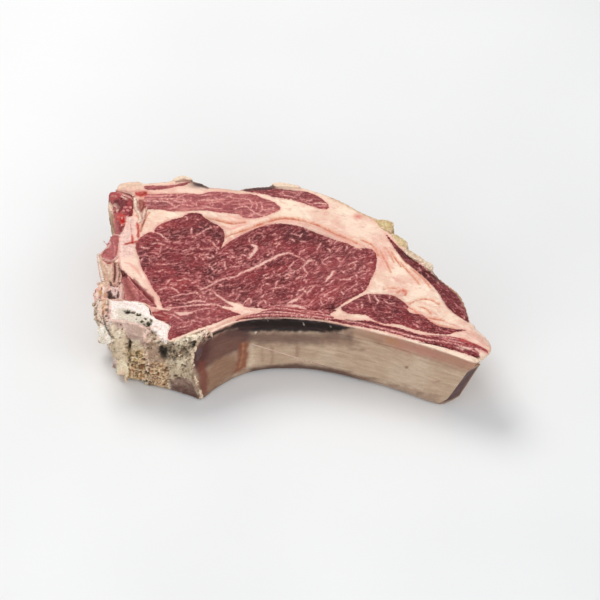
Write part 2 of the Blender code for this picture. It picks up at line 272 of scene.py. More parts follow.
SEAMS = {
    "eye_longissimus": [
        (219.6, 250), (231, 239.8), (249, 230.3), (269, 223.8), (287, 223.3), (307, 227.6), (330, 236.6),
        (352, 244.4), (368, 247.5), (376.3, 256), (374, 271), (366, 286.5), (351, 298), (338, 305),
        (325, 309.2), (306, 306.4), (281, 304), (256, 305.8), (239, 303.3), (223, 295.6), (208, 287.5),
        (204.2, 284), (208.6, 269.5),
    ],
    "complexus": [
        (136.4, 248), (144.5, 234.5), (155.5, 231.4), (161.5, 223.6), (177, 216.5), (196, 212.4), (208, 219.6),
        (222, 228.5), (223.6, 237), (213.2, 251.5), (204.3, 270), (200, 287.5), (213.5, 293.2), (235, 305.4),
        (207, 303.4), (187, 305), (165, 306), (158.5, 297), (148, 279.5), (138.5, 259),
    ],
    "multifidus": [
        (153.8, 312.3), (163, 309.3), (187, 308), (207, 306.3), (239.5, 312.5), (217, 318.4), (198, 325.1),
        (181, 331.2), (176, 330), (174.4, 322.4), (164, 316.6),
    ],
    "cap_trapezius": [
        (146.5, 199), (156, 193.2), (175, 192.3), (200, 193), (226, 192.4), (256.5, 195.2), (278.3, 204.3),
        (280, 210), (256.5, 216.4), (240, 216), (225, 211), (194, 209), (169, 209), (150, 206.5),
    ],
    "cap_latissimus": [
        (245, 190.6), (268, 189), (290, 189.4), (313, 194), (328, 205.4), (315, 206.2), (291.6, 199),
        (264, 192.9),
    ],
    "outer_flank": [
        (391.5, 240), (400, 248), (421, 262.8), (439, 276.2), (456, 291), (463.5, 308), (463, 315),
        (453, 309.8), (440.4, 292), (424.3, 275.2), (406.4, 260), (394.8, 246.5),
    ],
    "serratus": [
        (345.5, 306), (359, 298.5), (378, 294), (400.5, 299), (409, 311), (428, 319.8), (457, 330.3),
        (436, 331.2), (400, 323), (366, 314), (347, 309.8),
    ],
    "chine_side_meat": [
        (121.8, 270.5), (133, 278.5), (148, 292.5), (156.8, 304), (145, 298.4), (123.5, 294.4), (122, 282),
    ],
    "neck_end_meat": [
        (111, 193.6), (124, 192.5), (132.6, 203), (129.5, 214.5), (124.5, 226), (118.4, 230), (116.6, 219),
        (112.4, 205),
    ],
}
# where lean meat shows: these run on under the thin seams between the pieces
LEAN = [
    [  # eye
        (221, 248), (227, 243), (233, 238.8), (240, 235), (249, 231), (258, 227.2), (265, 224.6), (272, 223.4),
        (280, 222.7), (287, 223.2), (294, 224.4), (302, 226.6), (310, 229.6), (320, 233.8), (330, 237.4),
        (340, 240.8), (347, 242.4), (353, 245.4), (358, 247.6), (363, 247.2), (369, 247.8), (373.4, 249.8),
        (376, 254), (376.6, 260), (375.5, 267), (373, 274), (370, 280), (367.5, 286), (364, 291), (358, 294.6),
        (350, 298.6), (343, 302.6), (338, 306.4), (333, 309.4), (326, 311.8), (318, 312.6), (309, 311.2),
        (300, 308.6), (290, 306.6), (280, 305.6), (270, 306.2), (262, 307.4), (252, 306.8), (245, 306),
        (240, 303), (232, 301), (222, 299), (212, 296), (204, 298), (196, 296), (196, 284), (202, 270), (208, 258),
    ],
    [  # complexus
        (136, 247.5), (137, 241.5), (141, 236.8), (146, 233.2), (151, 231.2), (154.3, 231.8), (154.6, 229), (157, 226),
        (162, 223), (168, 220.4), (175, 218.2), (181, 217), (185, 214.4), (189, 212.6), (196, 211.9), (201, 212.9),
        (204.4, 216.2), (208, 219), (213, 222), (219, 225), (223, 229), (224.4, 233), (224.6, 238), (223, 244),
        (219, 252), (214, 262), (212, 276), (212, 288), (216, 294), (224, 299), (231, 303.6), (234, 306.4),
        (224, 305), (215, 303.6), (205, 303.4), (196, 303.8), (186, 305), (176, 306.4), (168, 306.8), (163, 306.4),
        (161.5, 302), (159.5, 296), (155.5, 290.4), (151.5, 284), (148, 277), (144.5, 271.5), (141.6, 265.5),
        (139.4, 257.5),
    ],
    [  # multifidus
        (152.6, 312), (156, 309.8), (164, 309), (172, 309.6), (184, 307.6), (196, 306.2), (207, 305.8), (218, 306.6),
        (228, 309), (237, 312), (241, 313.6), (236, 315), (229, 316.8), (221, 319.8), (212, 323.6), (203, 326.6),
        (195, 329.6), (187, 332.8), (179, 336), (172, 338.8), (169, 338.4), (169, 331), (171, 325.6), (164, 320.6),
        (157, 317.6),
    ],
    [  # trapezius
        (144, 197), (147, 193.4), (156, 192.8), (165, 192.6), (175, 192.4), (184, 192.2), (190, 192.2), (200, 193.4),
        (206, 192), (212, 191), (226, 191.6), (238, 192.8), (249, 192.9), (256.5, 194.4), (264, 197.6), (271.8, 200.2),
        (277, 203.6), (280.6, 208), (276, 211), (266.5, 214.8), (258, 217.2), (250, 217.6), (243, 216.6),
        (238, 213.6), (229, 212.4), (218.3, 211.5), (206.8, 209.8), (193.8, 209.8), (183, 210.8), (172, 210.8),
        (164, 209.4), (152, 208.4), (146.5, 208), (143.4, 204),
    ],
    [  # latissimus
        (243, 188.8), (256.5, 187.4), (270, 187), (280, 188.2), (290, 189.2), (302, 190.2), (313, 193), (322, 198),
        (328.4, 204.6), (328, 207.6), (322, 208.2), (313, 206), (304.9, 203), (295, 199.6), (285, 197.8),
        (275, 196.6), (264, 193.4), (252, 191.6),
    ],
    [  # flank
        (386, 234), (391, 238.6), (398.4, 246), (408, 253.4), (418, 260.4), (428, 267), (437, 273.4), (447, 281),
        (455, 287.4), (461, 295), (464.8, 303), (467, 311), (467.6, 318), (462.7, 317), (453.8, 312.4),
        (447, 306.4), (442, 298.6), (438, 291.4), (431.6, 283.6), (424, 276.2), (415, 268.6), (406, 261.6),
        (400, 254.6), (393, 246),
    ],
    [  # serratus
        (340.6, 307.6), (346, 303.6), (353, 299.8), (360, 296.2), (367, 293.6), (374, 293.2), (384, 293.2),
        (391, 294), (398, 297.4), (404, 301.6), (408, 305.6), (407, 309.4), (411, 312.2), (418, 313.2), (424, 315.6),
        (430, 320.4), (438, 324.6), (448, 326.6), (456, 328), (466, 328.6), (458, 330.4), (452, 331.6),
        (447, 333.4), (438, 333), (426, 331), (412, 328), (400, 324), (391, 323), (381, 322.4), (371, 318.4),
        (366, 314.6), (356, 313.4), (347, 312.6),
    ],
    [  # strips along the rib
        (262, 311.4), (272, 309.4), (285, 309.6), (297, 311.4), (309, 313.4), (320, 315.6), (332, 317.4),
        (345, 319.4), (358, 319.4), (371, 320), (383, 323.8), (395, 326.2), (408, 329.8), (420, 333.2), (432, 334),
        (444, 334.2), (455, 336), (466, 339.4), (476, 343.4), (486, 347), (486, 350), (478, 349.4), (478, 355.2),
        (470, 354.4), (455, 349.6), (440, 344.8), (420, 340.2), (400, 334.4), (380, 329.4), (360, 325.4),
        (345, 323.2), (330, 319.8), (310, 317.4), (290, 316), (270, 315.6), (256, 316.6), (244, 318.4), (236, 320),
        (240, 317), (250, 313.8),
    ],
    [  # beside the chine
        (121, 268.6), (125, 271), (130, 275.4), (135, 280.6), (140.5, 286), (146, 291.6), (152, 297.6), (156.8, 304),
        (157, 306.2), (152, 305.6), (148, 303.4), (141, 301), (132, 300.4), (124, 299.4), (124.6, 292), (124.4, 286),
        (121.6, 281), (121.6, 275),
    ],
    [  # neck end
        (108.4, 194), (110.4, 190.6), (117, 190), (124, 191.6), (130, 192.6), (133.2, 197), (133.8, 204), (133, 211),
        (131.6, 215.4), (126.6, 216.4), (125.4, 221), (124.4, 227), (121.6, 232.6), (116.4, 234.4), (115.2, 229),
        (115.4, 222), (113.8, 214), (112.4, 207), (109, 200),
    ],
    [  # torn flap under it
        (111.6, 235.4), (118, 234), (119, 241), (118, 249), (115.6, 256), (113, 261.6), (108.6, 262), (105, 259),
        (101.6, 253.6), (105.4, 248), (108.6, 241.6),
    ],
    [  # red streaks between the eye and the strips
        (258, 305), (270, 303), (290, 303), (310, 307), (330, 308.6), (336, 309.6), (330, 313.4), (334, 316.6),
        (326, 318), (310, 315.4), (296, 313.4), (284, 311.6), (272, 311), (262, 312.4), (256, 313.6), (262, 310.4),
        (268, 308.6), (262, 307.6),
    ],
    [  # and between the complexus and the multifidus
        (166, 303), (180, 302.6), (200, 300.4), (216, 301), (228, 304), (222, 306.4), (232, 309.6), (222, 310),
        (206, 309), (194, 308.6), (182, 310.4), (170, 312), (164, 311), (172, 308.6), (164, 307.4),
    ],
    [  # thin strip between the lobes of fat
        (143.6, 185.4), (150, 184.4), (160, 184.6), (172, 184), (182, 182), (190, 180.4), (186, 183.6), (174, 186),
        (162, 188.4), (152, 189), (146, 188.2),
    ],
]
PALE = [  # pale fat strands in the lean: width, then the line
    (1.2, [(192, 237.5), (197, 235), (203, 232), (207, 229), (211, 227.5)]),
    (1.5, [(192, 228), (191.5, 231), (192.5, 234.5)]),
    (1.3, [(156, 243), (160, 243.5), (163, 245), (166, 244.5)]),
    (1.0, [(162, 246), (161, 249), (160.5, 252)]),
    (1.8, [(141, 247), (145, 248.3), (149, 248.5)]),
    (1.6, [(156, 232), (160, 234), (164, 237), (168, 240)]),
    (1.2, [(174, 243), (177, 242), (180, 241.5)]),
    (1.0, [(183, 251.5), (187, 250), (191, 249), (195, 248.5)]),
    (1.4, [(201, 255.5), (204, 255), (207, 254.5), (209, 253.5)]),
    (1.4, [(204, 255), (207, 256.5), (209, 258.5)]),
    (1.1, [(209, 240.5), (213, 243), (216, 246.5), (219, 249)]),
    (0.9, [(206, 249), (211, 248.5), (215, 248.5)]),
    (0.9, [(154, 264), (160, 264.5), (166, 264.5), (170, 264)]),
    (1.1, [(156, 272), (160, 271.5), (163, 269.5)]),
    (1.2, [(167, 284.5), (169, 281.5), (170.5, 279.5)]),
    (1.3, [(178, 281), (182, 279.8), (187, 279), (191, 280)]),
    (2.8, [(192.5, 283), (196, 282)]),
    (1.2, [(199, 278), (201, 275.5)]),
    (0.9, [(158, 291), (162, 289), (167, 287.8), (171, 287.5)]),
    (1.6, [(172, 287.5), (175, 289.5), (178, 291.5), (179.5, 293.5)]),
    (1.3, [(170, 298), (175, 296.5), (180, 294.8), (186, 294.3), (192, 293), (197, 292.5), (200, 294.5), (201.5, 297.5), (201, 300)]),
    ((1.2, 1.8, 1.6, 2.2, 3.0, 2.6, 2.6, 1.5, 0.9), [(201, 289.5), (208, 287), (214, 283.5), (221, 280), (228, 278), (236, 276.5), (241, 273), (248, 270.5), (254, 268), (261, 265), (267, 261.5), (273, 259), (279, 255.5), (284, 254), (288, 253), (293, 254.5), (299, 257), (305, 261)]),
    ((1.0, 1.6, 2.4, 4.0), [(213, 291), (218, 295), (224, 299), (229, 302), (236, 305)]),
    ((3.0, 5.0, 3.4), [(231, 302), (238, 304), (246, 307.5)]),
    (1.2, [(227, 296.5), (231, 295), (234, 292.5)]),
    (1.1, [(235, 301), (238, 297), (240, 294)]),
    (1.9, [(163, 308), (176, 307.2), (189, 305.4), (198, 304.6), (207, 304.6), (216, 304.8), (225, 307), (233, 310), (241, 312.4)]),
    ((1.5, 4.4, 4.6, 1.5), [(176, 312), (181, 313.4), (187, 313.4), (193, 311.5)]),
    (1.2, [(192, 312), (200, 309.5), (207, 308), (215, 309)]),
    (1.0, [(196, 317), (203, 319), (210, 317)]),
    (1.0, [(185, 323), (194, 321), (202, 322)]),
    (1.0, [(178, 328), (186, 326.5), (193, 324)]),
    (1.3, [(164, 312), (170, 314), (176, 316), (182, 320)]),
    (1.6, [(249.5, 238.5), (249.5, 242)]),
    ((2.6, 3.6, 3.4, 3.0, 1.6), [(252, 245), (255.5, 246.8), (256, 250), (253.5, 253), (251, 256), (249.5, 258.5)]),
    (1.6, [(240, 257.5), (243, 255), (246, 256)]),
    (1.0, [(228, 257), (232, 257.6), (236, 257)]),
    (1.6, [(225, 262), (225, 266), (226, 269)]),
    (1.0, [(230, 267), (236, 266.5), (239, 266.5)]),
    (1.0, [(270, 249), (275, 250.5)]),
    (1.7, [(272, 289), (276, 288), (280, 288), (284, 286)]),
    (1.3, [(276, 287.5), (276.5, 283), (279, 280.5)]),
    (0.9, [(240, 291), (248, 291)]),
    (1.7, [(279, 270), (282, 267.5)]),
    (1.7, [(285, 276), (288, 274), (290, 276)]),
    (1.2, [(294, 262), (291, 265.5), (289, 268.5)]),
    (1.7, [(303, 267), (305, 270), (307, 273), (306, 276)]),
    (2.0, [(303, 267), (306, 263.5), (308, 261), (313, 260.6)]),
    (1.6, [(298, 291), (302, 289.5), (305, 287.5)]),
    (1.6, [(303, 289), (306, 292), (308, 294.5)]),
    ((1.4, 2.8, 2.6, 1.2), [(334, 271), (331, 275), (328, 278.5), (325, 281.5)]),
    (1.4, [(341, 279.5), (346, 279.5), (351, 278), (353, 276.5)]),
    (1.3, [(349, 264.5), (353, 263), (357, 261)]),
    (1.1, [(341, 262), (344, 259.5)]),
    (1.4, [(338, 267), (341, 263.5)]),
    (1.3, [(317, 250), (319.5, 246.5), (320.5, 244)]),
    (0.9, [(329, 239), (332, 241.5)]),
    (1.0, [(336, 252), (339, 248.5), (342, 246.5)]),
    (1.2, [(358, 273), (362, 271.5), (366, 271.5)]),
    (1.0, [(360, 258.5), (366, 256.5)]),
    (1.4, [(314, 285), (312, 288), (309, 291), (307, 293.5)]),
    (1.1, [(327, 285), (331, 282), (334, 279.5)]),
    ((1.2, 3.4, 1.6, 1.0), [(288, 303), (293, 301), (297, 299.5), (300, 296), (303, 294)]),
    (1.4, [(243, 305), (246, 301), (249, 298.5), (251.5, 300), (250.5, 304)]),
    (1.3, [(258, 306), (259, 303), (263, 301), (266, 302), (265, 305.5)]),
    (1.2, [(269, 303), (270, 306)]),
    (1.2, [(300, 307.6), (305, 305.6), (309, 307)]),
    (1.1, [(321, 297), (321, 302), (323, 305)]),
    (1.2, [(313, 300), (310, 303.5)]),
    (1.0, [(322, 262), (326, 258.6), (331, 257)]),
    (1.0, [(330, 292), (335, 289.6), (339, 287)]),
    (1.0, [(346, 291), (351, 288), (356, 284.6)]),
    (1.0, [(344, 271), (350, 269.4), (355, 266.6)]),
    (1.0, [(296, 280), (300, 277), (305, 276.6)]),
    (1.0, [(262, 281), (266, 278.6)]),
    (1.0, [(256, 291), (260, 294)]),
    # cap
    (1.5, [(143, 200.2), (152, 201), (160, 201), (168, 202), (173, 205), (176, 206.5)]),
    (1.2, [(160, 200), (164, 197.5), (168, 198.5), (174, 198.5), (179, 197), (184, 194.5), (190, 192.8)]),
    (1.2, [(170, 209), (176, 207), (181, 205), (187, 205), (193, 206)]),
    (0.9, [(176, 201.6), (182, 202), (188, 200.4)]),
    (1.2, [(196, 205), (198, 200.8), (206, 200), (213, 200.5), (220, 202), (225, 204.6)]),
    (1.0, [(200, 196), (206, 195), (210, 193.5)]),
    (1.0, [(214, 197), (218, 199.5), (222, 199)]),
    (1.2, [(230, 197), (238, 198.5), (245, 198.5), (250, 200), (252, 204), (251, 208.5)]),
    (1.5, [(234, 209), (240, 207), (246, 206.5), (250, 209), (254, 212), (258, 214.5)]),
    (1.0, [(255, 201), (257, 205), (256, 209)]),
    (1.0, [(260, 201.5), (262, 205), (262, 210), (258, 214)]),
    (1.1, [(262, 210), (268, 209), (274, 208)]),
    (1.3, [(240, 217.4), (247, 217), (252, 215), (256, 213.5), (262, 215), (268, 213.5), (276, 211.6)]),
    (0.9, [(223, 206), (228, 203), (233, 200)]),
    (0.8, [(150, 195.8), (158, 196), (166, 195), (174, 195)]),
    (1.0, [(198, 208), (206, 207), (214, 208), (222, 208.6)]),
    # latissimus
    (1.2, [(281, 194.6), (290, 196), (297, 197.5)]),
    (1.6, [(314, 203.5), (320, 203), (326, 203.8)]),
    (1.4, [(303, 199.5), (309, 200.5), (313, 199)]),
    (0.9, [(318, 206.4), (324, 205.6), (328, 206)]),
    (0.8, [(286, 190.6), (294, 192.6), (302, 193.4)]),
    # serratus
    (1.5, [(374, 292), (375, 297), (378, 301.5), (376, 304)]),
    (1.4, [(367, 292), (369, 298), (370, 302)]),
    (1.3, [(361, 302), (362, 305.6), (361, 308.6)]),
    (1.2, [(388, 292), (390, 295.6), (389, 298)]),
    (0.9, [(356, 304), (358, 309)]),
    (1.0, [(384, 300), (388, 303), (394, 303)]),
    ((1.0, 2.2, 2.2, 1.6), [(322, 314.4), (333, 315.4), (345, 316.4), (356, 316.6), (364, 317), (371, 318)]),
    (1.5, [(352, 313.4), (362, 315.6), (371, 318.6), (380, 323), (390, 324.4), (399, 325.2)]),
    (1.3, [(399, 325.2), (405, 328.4), (414, 330.6), (423, 333), (430, 336)]),
    (1.5, [(345, 320.6), (358, 322.4), (370, 325), (380, 327.4), (390, 329.8), (400, 332.4), (410, 335.2), (420, 337.6), (430, 339.4), (442, 341.2), (452, 343), (462, 346), (472, 350), (480, 353)]),
    (1.2, [(408, 328.4), (420, 331.2), (430, 334.2), (440, 335.8), (450, 337.4), (460, 339.4), (468, 341.6)]),
    (1.5, [(436, 333.4), (446, 334.6), (458, 336)]),
    (1.3, [(442, 338.4), (452, 340.2), (462, 343)]),
    ((3.0, 5.0, 4.0, 2.0), [(454, 334), (464, 336), (472, 338), (482, 342)]),
    ((2.0, 4.0, 2.4), [(456, 346.4), (462, 347.6), (470, 348.4)]),
    ((2.0, 4.4, 3.4), [(474, 348), (480, 350), (486, 350.6)]),
    (1.4, [(249, 313.4), (262, 312), (275, 311.4), (290, 312.8), (304, 314.6), (318, 316.8), (332, 318.4)]),
    (1.1, [(246, 316.8), (258, 315), (272, 314.2), (290, 314.8), (310, 316.4)]),
    ((1.0, 2.4, 3.6, 2.6, 1.0), [(284, 306.6), (290, 305.8), (296, 306), (301, 307.4), (306, 309)]),
    (1.1, [(264, 309.4), (274, 308), (284, 308.6), (296, 310.6), (308, 312.6), (320, 314.4)]),
    (0.9, [(270, 306), (282, 305), (292, 303.8)]),
    (0.9, [(302, 310.4), (312, 311.4), (322, 312)]),
    ((1.0, 1.8, 1.2), [(186, 303), (196, 300.6), (206, 301)]),
    (0.9, [(222, 306), (214, 303), (206, 303.6)]),
    # beside the chine, neck end, torn flap
    (0.9, [(127, 275), (132, 281), (138, 288), (144, 294)]),
    (0.8, [(134, 287), (137, 291), (139, 295)]),
    (1.0, [(113, 201), (116, 206), (117, 212)]),
    (1.4, [(117, 192.6), (124, 195), (131, 197.4)]),
    (1.1, [(110, 203), (113, 210), (115, 216)]),
    (1.4, [(102, 254), (107, 257.6), (113, 258.6)]),
    (0.9, [(112, 237), (111, 246), (113, 254)]),
]
CREASE = [
    ((1.0, 1.9, 2.3, 2.2, 2.0, 1.6, 1.2), [(226, 236), (234, 233), (243, 230), (251, 227.3), (260, 223.8), (270, 220.4), (280, 217.8), (290, 218), (300, 219.8), (310, 222.2), (320, 225.8), (330, 230.6), (340, 235), (350, 239), (357, 242.2)]),
    ((0.8, 1.6, 1.8, 1.4), [(207, 217.2), (215, 218.8), (222, 220.4), (228, 222), (236, 222.7), (245, 221.7)]),
    (1.1, [(362, 239.6), (370, 243), (375, 248), (378, 255)]),
    (1.0, [(408, 304), (415, 300), (423, 298.3), (431, 299.5), (438, 303.5)]),
    (1.0, [(428, 317), (436, 318.5), (443, 319.5)]),
    (0.9, [(386, 287.5), (392, 287.7)]),
    (0.8, [(399, 250), (402, 257), (407, 263)]),
    (0.8, [(392, 252), (396, 259), (401, 266)]),
    (0.7, [(409, 307), (415, 311), (420, 317)]),
    (0.8, [(150, 212), (146, 217), (143, 224), (141, 231)]),
    (0.8, [(136, 215), (140, 219), (138, 223)]),
    (0.6, [(381, 250), (384, 258), (388, 266), (391, 272)]),
    (0.5, [(386, 247), (390, 254), (394, 262)]),
    (0.6, [(401, 262), (407, 270), (413, 276), (419, 284)]),
    (0.5, [(411, 268), (418, 273), (425, 280), (430, 287)]),
    (0.7, [(383, 288.6), (390, 286.8), (396, 288.4)]),
    (0.7, [(397, 292.6), (400, 289.4), (406, 290.6), (404.6, 294.6)]),
    (0.6, [(418, 306), (425, 308), (430, 313)]),
    (0.6, [(432, 322), (442, 325), (452, 327)]),
]
PINK = [
    (3.0, [(222, 232), (230, 238), (226, 243)]),
    (2.6, [(235, 236), (250, 229.6), (262, 225.4), (280, 220.6), (300, 222.8), (320, 229.2), (340, 237.7), (352, 242.4), (364, 245)]),
    (3.0, [(222, 226), (230, 229), (238, 226), (246, 224)]),
    (2.0, [(376, 246), (380, 254), (381, 262), (379, 268)]),
    (2.2, [(384, 248), (386, 256), (388, 264), (393, 268)]),
    (3.0, [(404, 291), (396, 291), (388, 291)]),
    (3.0, [(409, 307), (416, 311), (422, 316), (430, 320)]),
    (3.0, [(158, 309), (152, 307), (156, 300)]),
    (2.0, [(140, 262), (146, 274), (152, 285), (158, 294)]),
    (2.0, [(245, 309), (262, 309.6), (276, 308.4)]),
    (3.0, [(470, 332), (478, 337), (484, 343)]),
    (3.0, [(126, 262), (134, 266), (142, 276)]),
    (2.4, [(250, 184), (262, 187)]),
    (3.0, [(119, 236), (119, 250), (120, 262)]),
    (1.6, [(379, 250), (382, 260), (386, 270)]),
    (1.6, [(390, 250), (395, 258), (402, 265), (410, 272)]),
    (2.4, [(412, 270), (420, 276), (428, 284)]),
    (2.0, [(392, 288), (400, 287.6), (408, 290)]),
    (2.0, [(432, 318), (446, 322), (458, 326)]),
    (1.6, [(228, 214), (240, 219), (252, 218)]),
]
# dark lines, each also cut in as a shallow groove: partly dark seams in the meat, partly painted shade in the grooves;
# the line under the strip's edge is a painted shadow
DARK_LINES = [
    (1.2, [(345, 318.6), (358, 320.6), (371, 322.4), (384, 325.4), (400, 329.6), (416, 333.6), (430, 337.4)]),
    (1.4, [(418, 341), (430, 342.6), (441, 345), (452, 348.2)]),
    (1.0, [(466, 351.6), (473, 354.4), (479, 356)]),
    (1.3, [(240, 318), (255, 316.8), (272, 316), (290, 316.2), (310, 317.8), (328, 320)]),
    (2.4, [(121, 271.4), (123.6, 273.6), (126.4, 275.8)]),
    (1.5, [(118, 283), (112, 284), (111, 279)]),
    (1.0, [(115, 262), (116, 270), (115, 279)]),
    (1.0, [(118.6, 262), (119, 271), (118, 281)]),
    (1.6, [(132, 279), (136, 284), (141, 290)]),
    (1.4, [(144, 293), (150, 299), (155, 303)]),
]
DARK_SPOTS = [
    (300, 235.5, 18, 7, 1.0), (322, 240, 12, 6, 0.6), (205, 226, 11, 7, 0.9), (175, 234, 13, 8, 0.5), (212, 268, 7, 12, 0.55),
    (146, 252, 8, 9, 0.5), (240, 248, 12, 8, 0.3), (184, 303, 8, 4, 0.5), (332, 306, 5, 2.4, 1.0), (218, 234, 7, 7, 0.6),
    (385, 300, 16, 6, 0.45), (395, 311, 6, 3, 0.8), (160, 203, 14, 4, 0.5), (150, 205, 6, 6, 0.3), (258, 290, 16, 10, 0.2),
    (265, 188, 26, 2.6, 0.9), (245, 187, 8, 2.4, 1.2), (200, 184, 10, 3.2, 1.5), (150, 257, 6, 6, 0.3), (115, 205, 3, 6, 0.5),
    (355, 287, 10, 5, 0.2),
]
FLANK_DARK = [(430, 272, 40, 10, 0.7), (408, 256, 20, 8, 0.7), (452, 296, 14, 16, 0.55)]
RED_SPOTS = [
    (123.3, 220.6, 2.6, 3.0, 1.6), (142, 193, 6, 2.2, 1.0), (141, 203, 3.4, 8, 0.55), (138.9, 229, 1.1, 7, 0.9),
    (131, 243, 5, 1.3, 1.0), (133, 238.6, 1.6, 3, 0.9), (358, 216, 5, 2.4, 0.9), (403.8, 291.3, 3.4, 2.4, 0.6),
    (462, 339, 4, 2, 0.8), (472, 343.5, 7, 1.4, 0.6), (482, 347, 5, 1.0, 0.6), (186, 286, 7, 5, 0.35), (163, 314, 8, 4, 0.6), (158, 311, 5, 2.4, 0.7),
    (127, 205, 5, 10, 0.45), (117, 195, 6, 4, 0.5), (347, 284, 10, 6, 0.35), (326, 300, 10, 6, 0.3), (162, 226, 7, 4, 0.3),
    (152, 297, 5, 6, 0.4), (133, 285, 5, 7, 0.25), (300, 309.5, 16, 2.2, 0.5), (318, 311, 12, 2.4, 0.5),
]
PALE_LEAN_SPOTS = [(200, 318, 34, 14, 0.35), (128, 290, 8, 16, 0.2), (340, 275, 34, 30, 0.25), (215, 298, 18, 6, 0.4), (262, 300, 20, 6, 0.25), (250, 205, 30, 12, 0.2)]

# ---- colour laid on point by point -----------------------------------------------------------
def seen(xyz):
    """Grid position of points anywhere on the cut."""
    return np.column_stack([to_u(xyz[:, 0]), V0 + LOWER * (1 - xyz[:, 2] / THICK) - xyz[:, 1] / STEP_Y])


def linear(rgb):
    c = np.asarray(rgb, float) / 255
    return np.where(c <= 0.04045, c / 12.92, ((c + 0.055) / 1.055) ** 2.4)


class Paint:
    """Coats of colour with soft ragged edges; without a ground, cover tells how much is painted."""

    def __init__(self, xyz, rgb=None):
        self.xyz, self.uv = xyz, seen(xyz)
        self.rgb = np.tile(linear(rgb or (200, 150, 140)), (len(xyz), 1))
        self.cover = np.full(len(xyz), 1.0 if rgb else 0.0)
        self.count = 0

    def ragged(self, size, amount, at=slice(None)):
        self.count += 1
        q = self.xyz[at] * size
        return amount * (noise3(q, self.count * 3) + 0.5 * noise3(q * 2.7, self.count * 3 + 1))

    def coat(self, mask, rgb, at=slice(None)):
        m = np.clip(mask, 0, 1)
        now = self.cover[at] + (1 - self.cover[at]) * m
        mix = (m / np.maximum(now, 1e-6))[:, None]
        self.rgb[at] = self.rgb[at] * (1 - mix) + linear(rgb) * mix
        self.cover[at] = now

    def near(self, points, reach):
        lo, hi = np.min(points, axis=0) - reach, np.max(points, axis=0) + reach
        return np.where(((self.uv > lo) & (self.uv < hi)).all(1))[0]

    def area(self, loop, rgb, strength=1.0, soft=1.0, ragged=1.0, size=0.25):
        loop = np.asarray(loop, float)
        at = self.near(loop, 8.0)
        d = signed(self.uv[at], [loop], 10.0) + self.ragged(size, ragged, at)
        self.coat(strength * ramp(d, -soft, soft), rgb, at)

    def line(self, points, width, rgb, strength=1.0, soft=0.6, ragged=0.5, size=0.35):
        points = np.asarray(points, float)
        at = self.near(points, 8.0)
        half = [w * 0.5 for w in np.atleast_1d(width)] * (1 if np.size(width) > 1 else 2)
        d = to_segments(self.uv[at], points, half, 8.0)
        self.coat(strength * ramp(d + self.ragged(size, ragged, at), soft, -soft), rgb, at)

    def spot(self, u, v, ru, rv, rgb, strength=1.0, ragged=0.3, size=0.4):
        at = self.near([(u - ru, v - rv), (u + ru, v + rv)], 1.5 * max(ru, rv) + 1)
        d = np.sqrt(((self.uv[at, 0] - u) / ru) ** 2 + ((self.uv[at, 1] - v) / rv) ** 2) + self.ragged(size, ragged, at)
        self.coat(strength * ramp(d, 1.25, 0.75), rgb, at)

    def speckle(self, size, low, high, rgb, strength=1.0, stretch=(1, 1, 1), seed=0):
        n = fbm(self.xyz * np.array(stretch) * size, 3, 200 + seed)
        self.coat(strength * ramp(n, low, high), rgb)


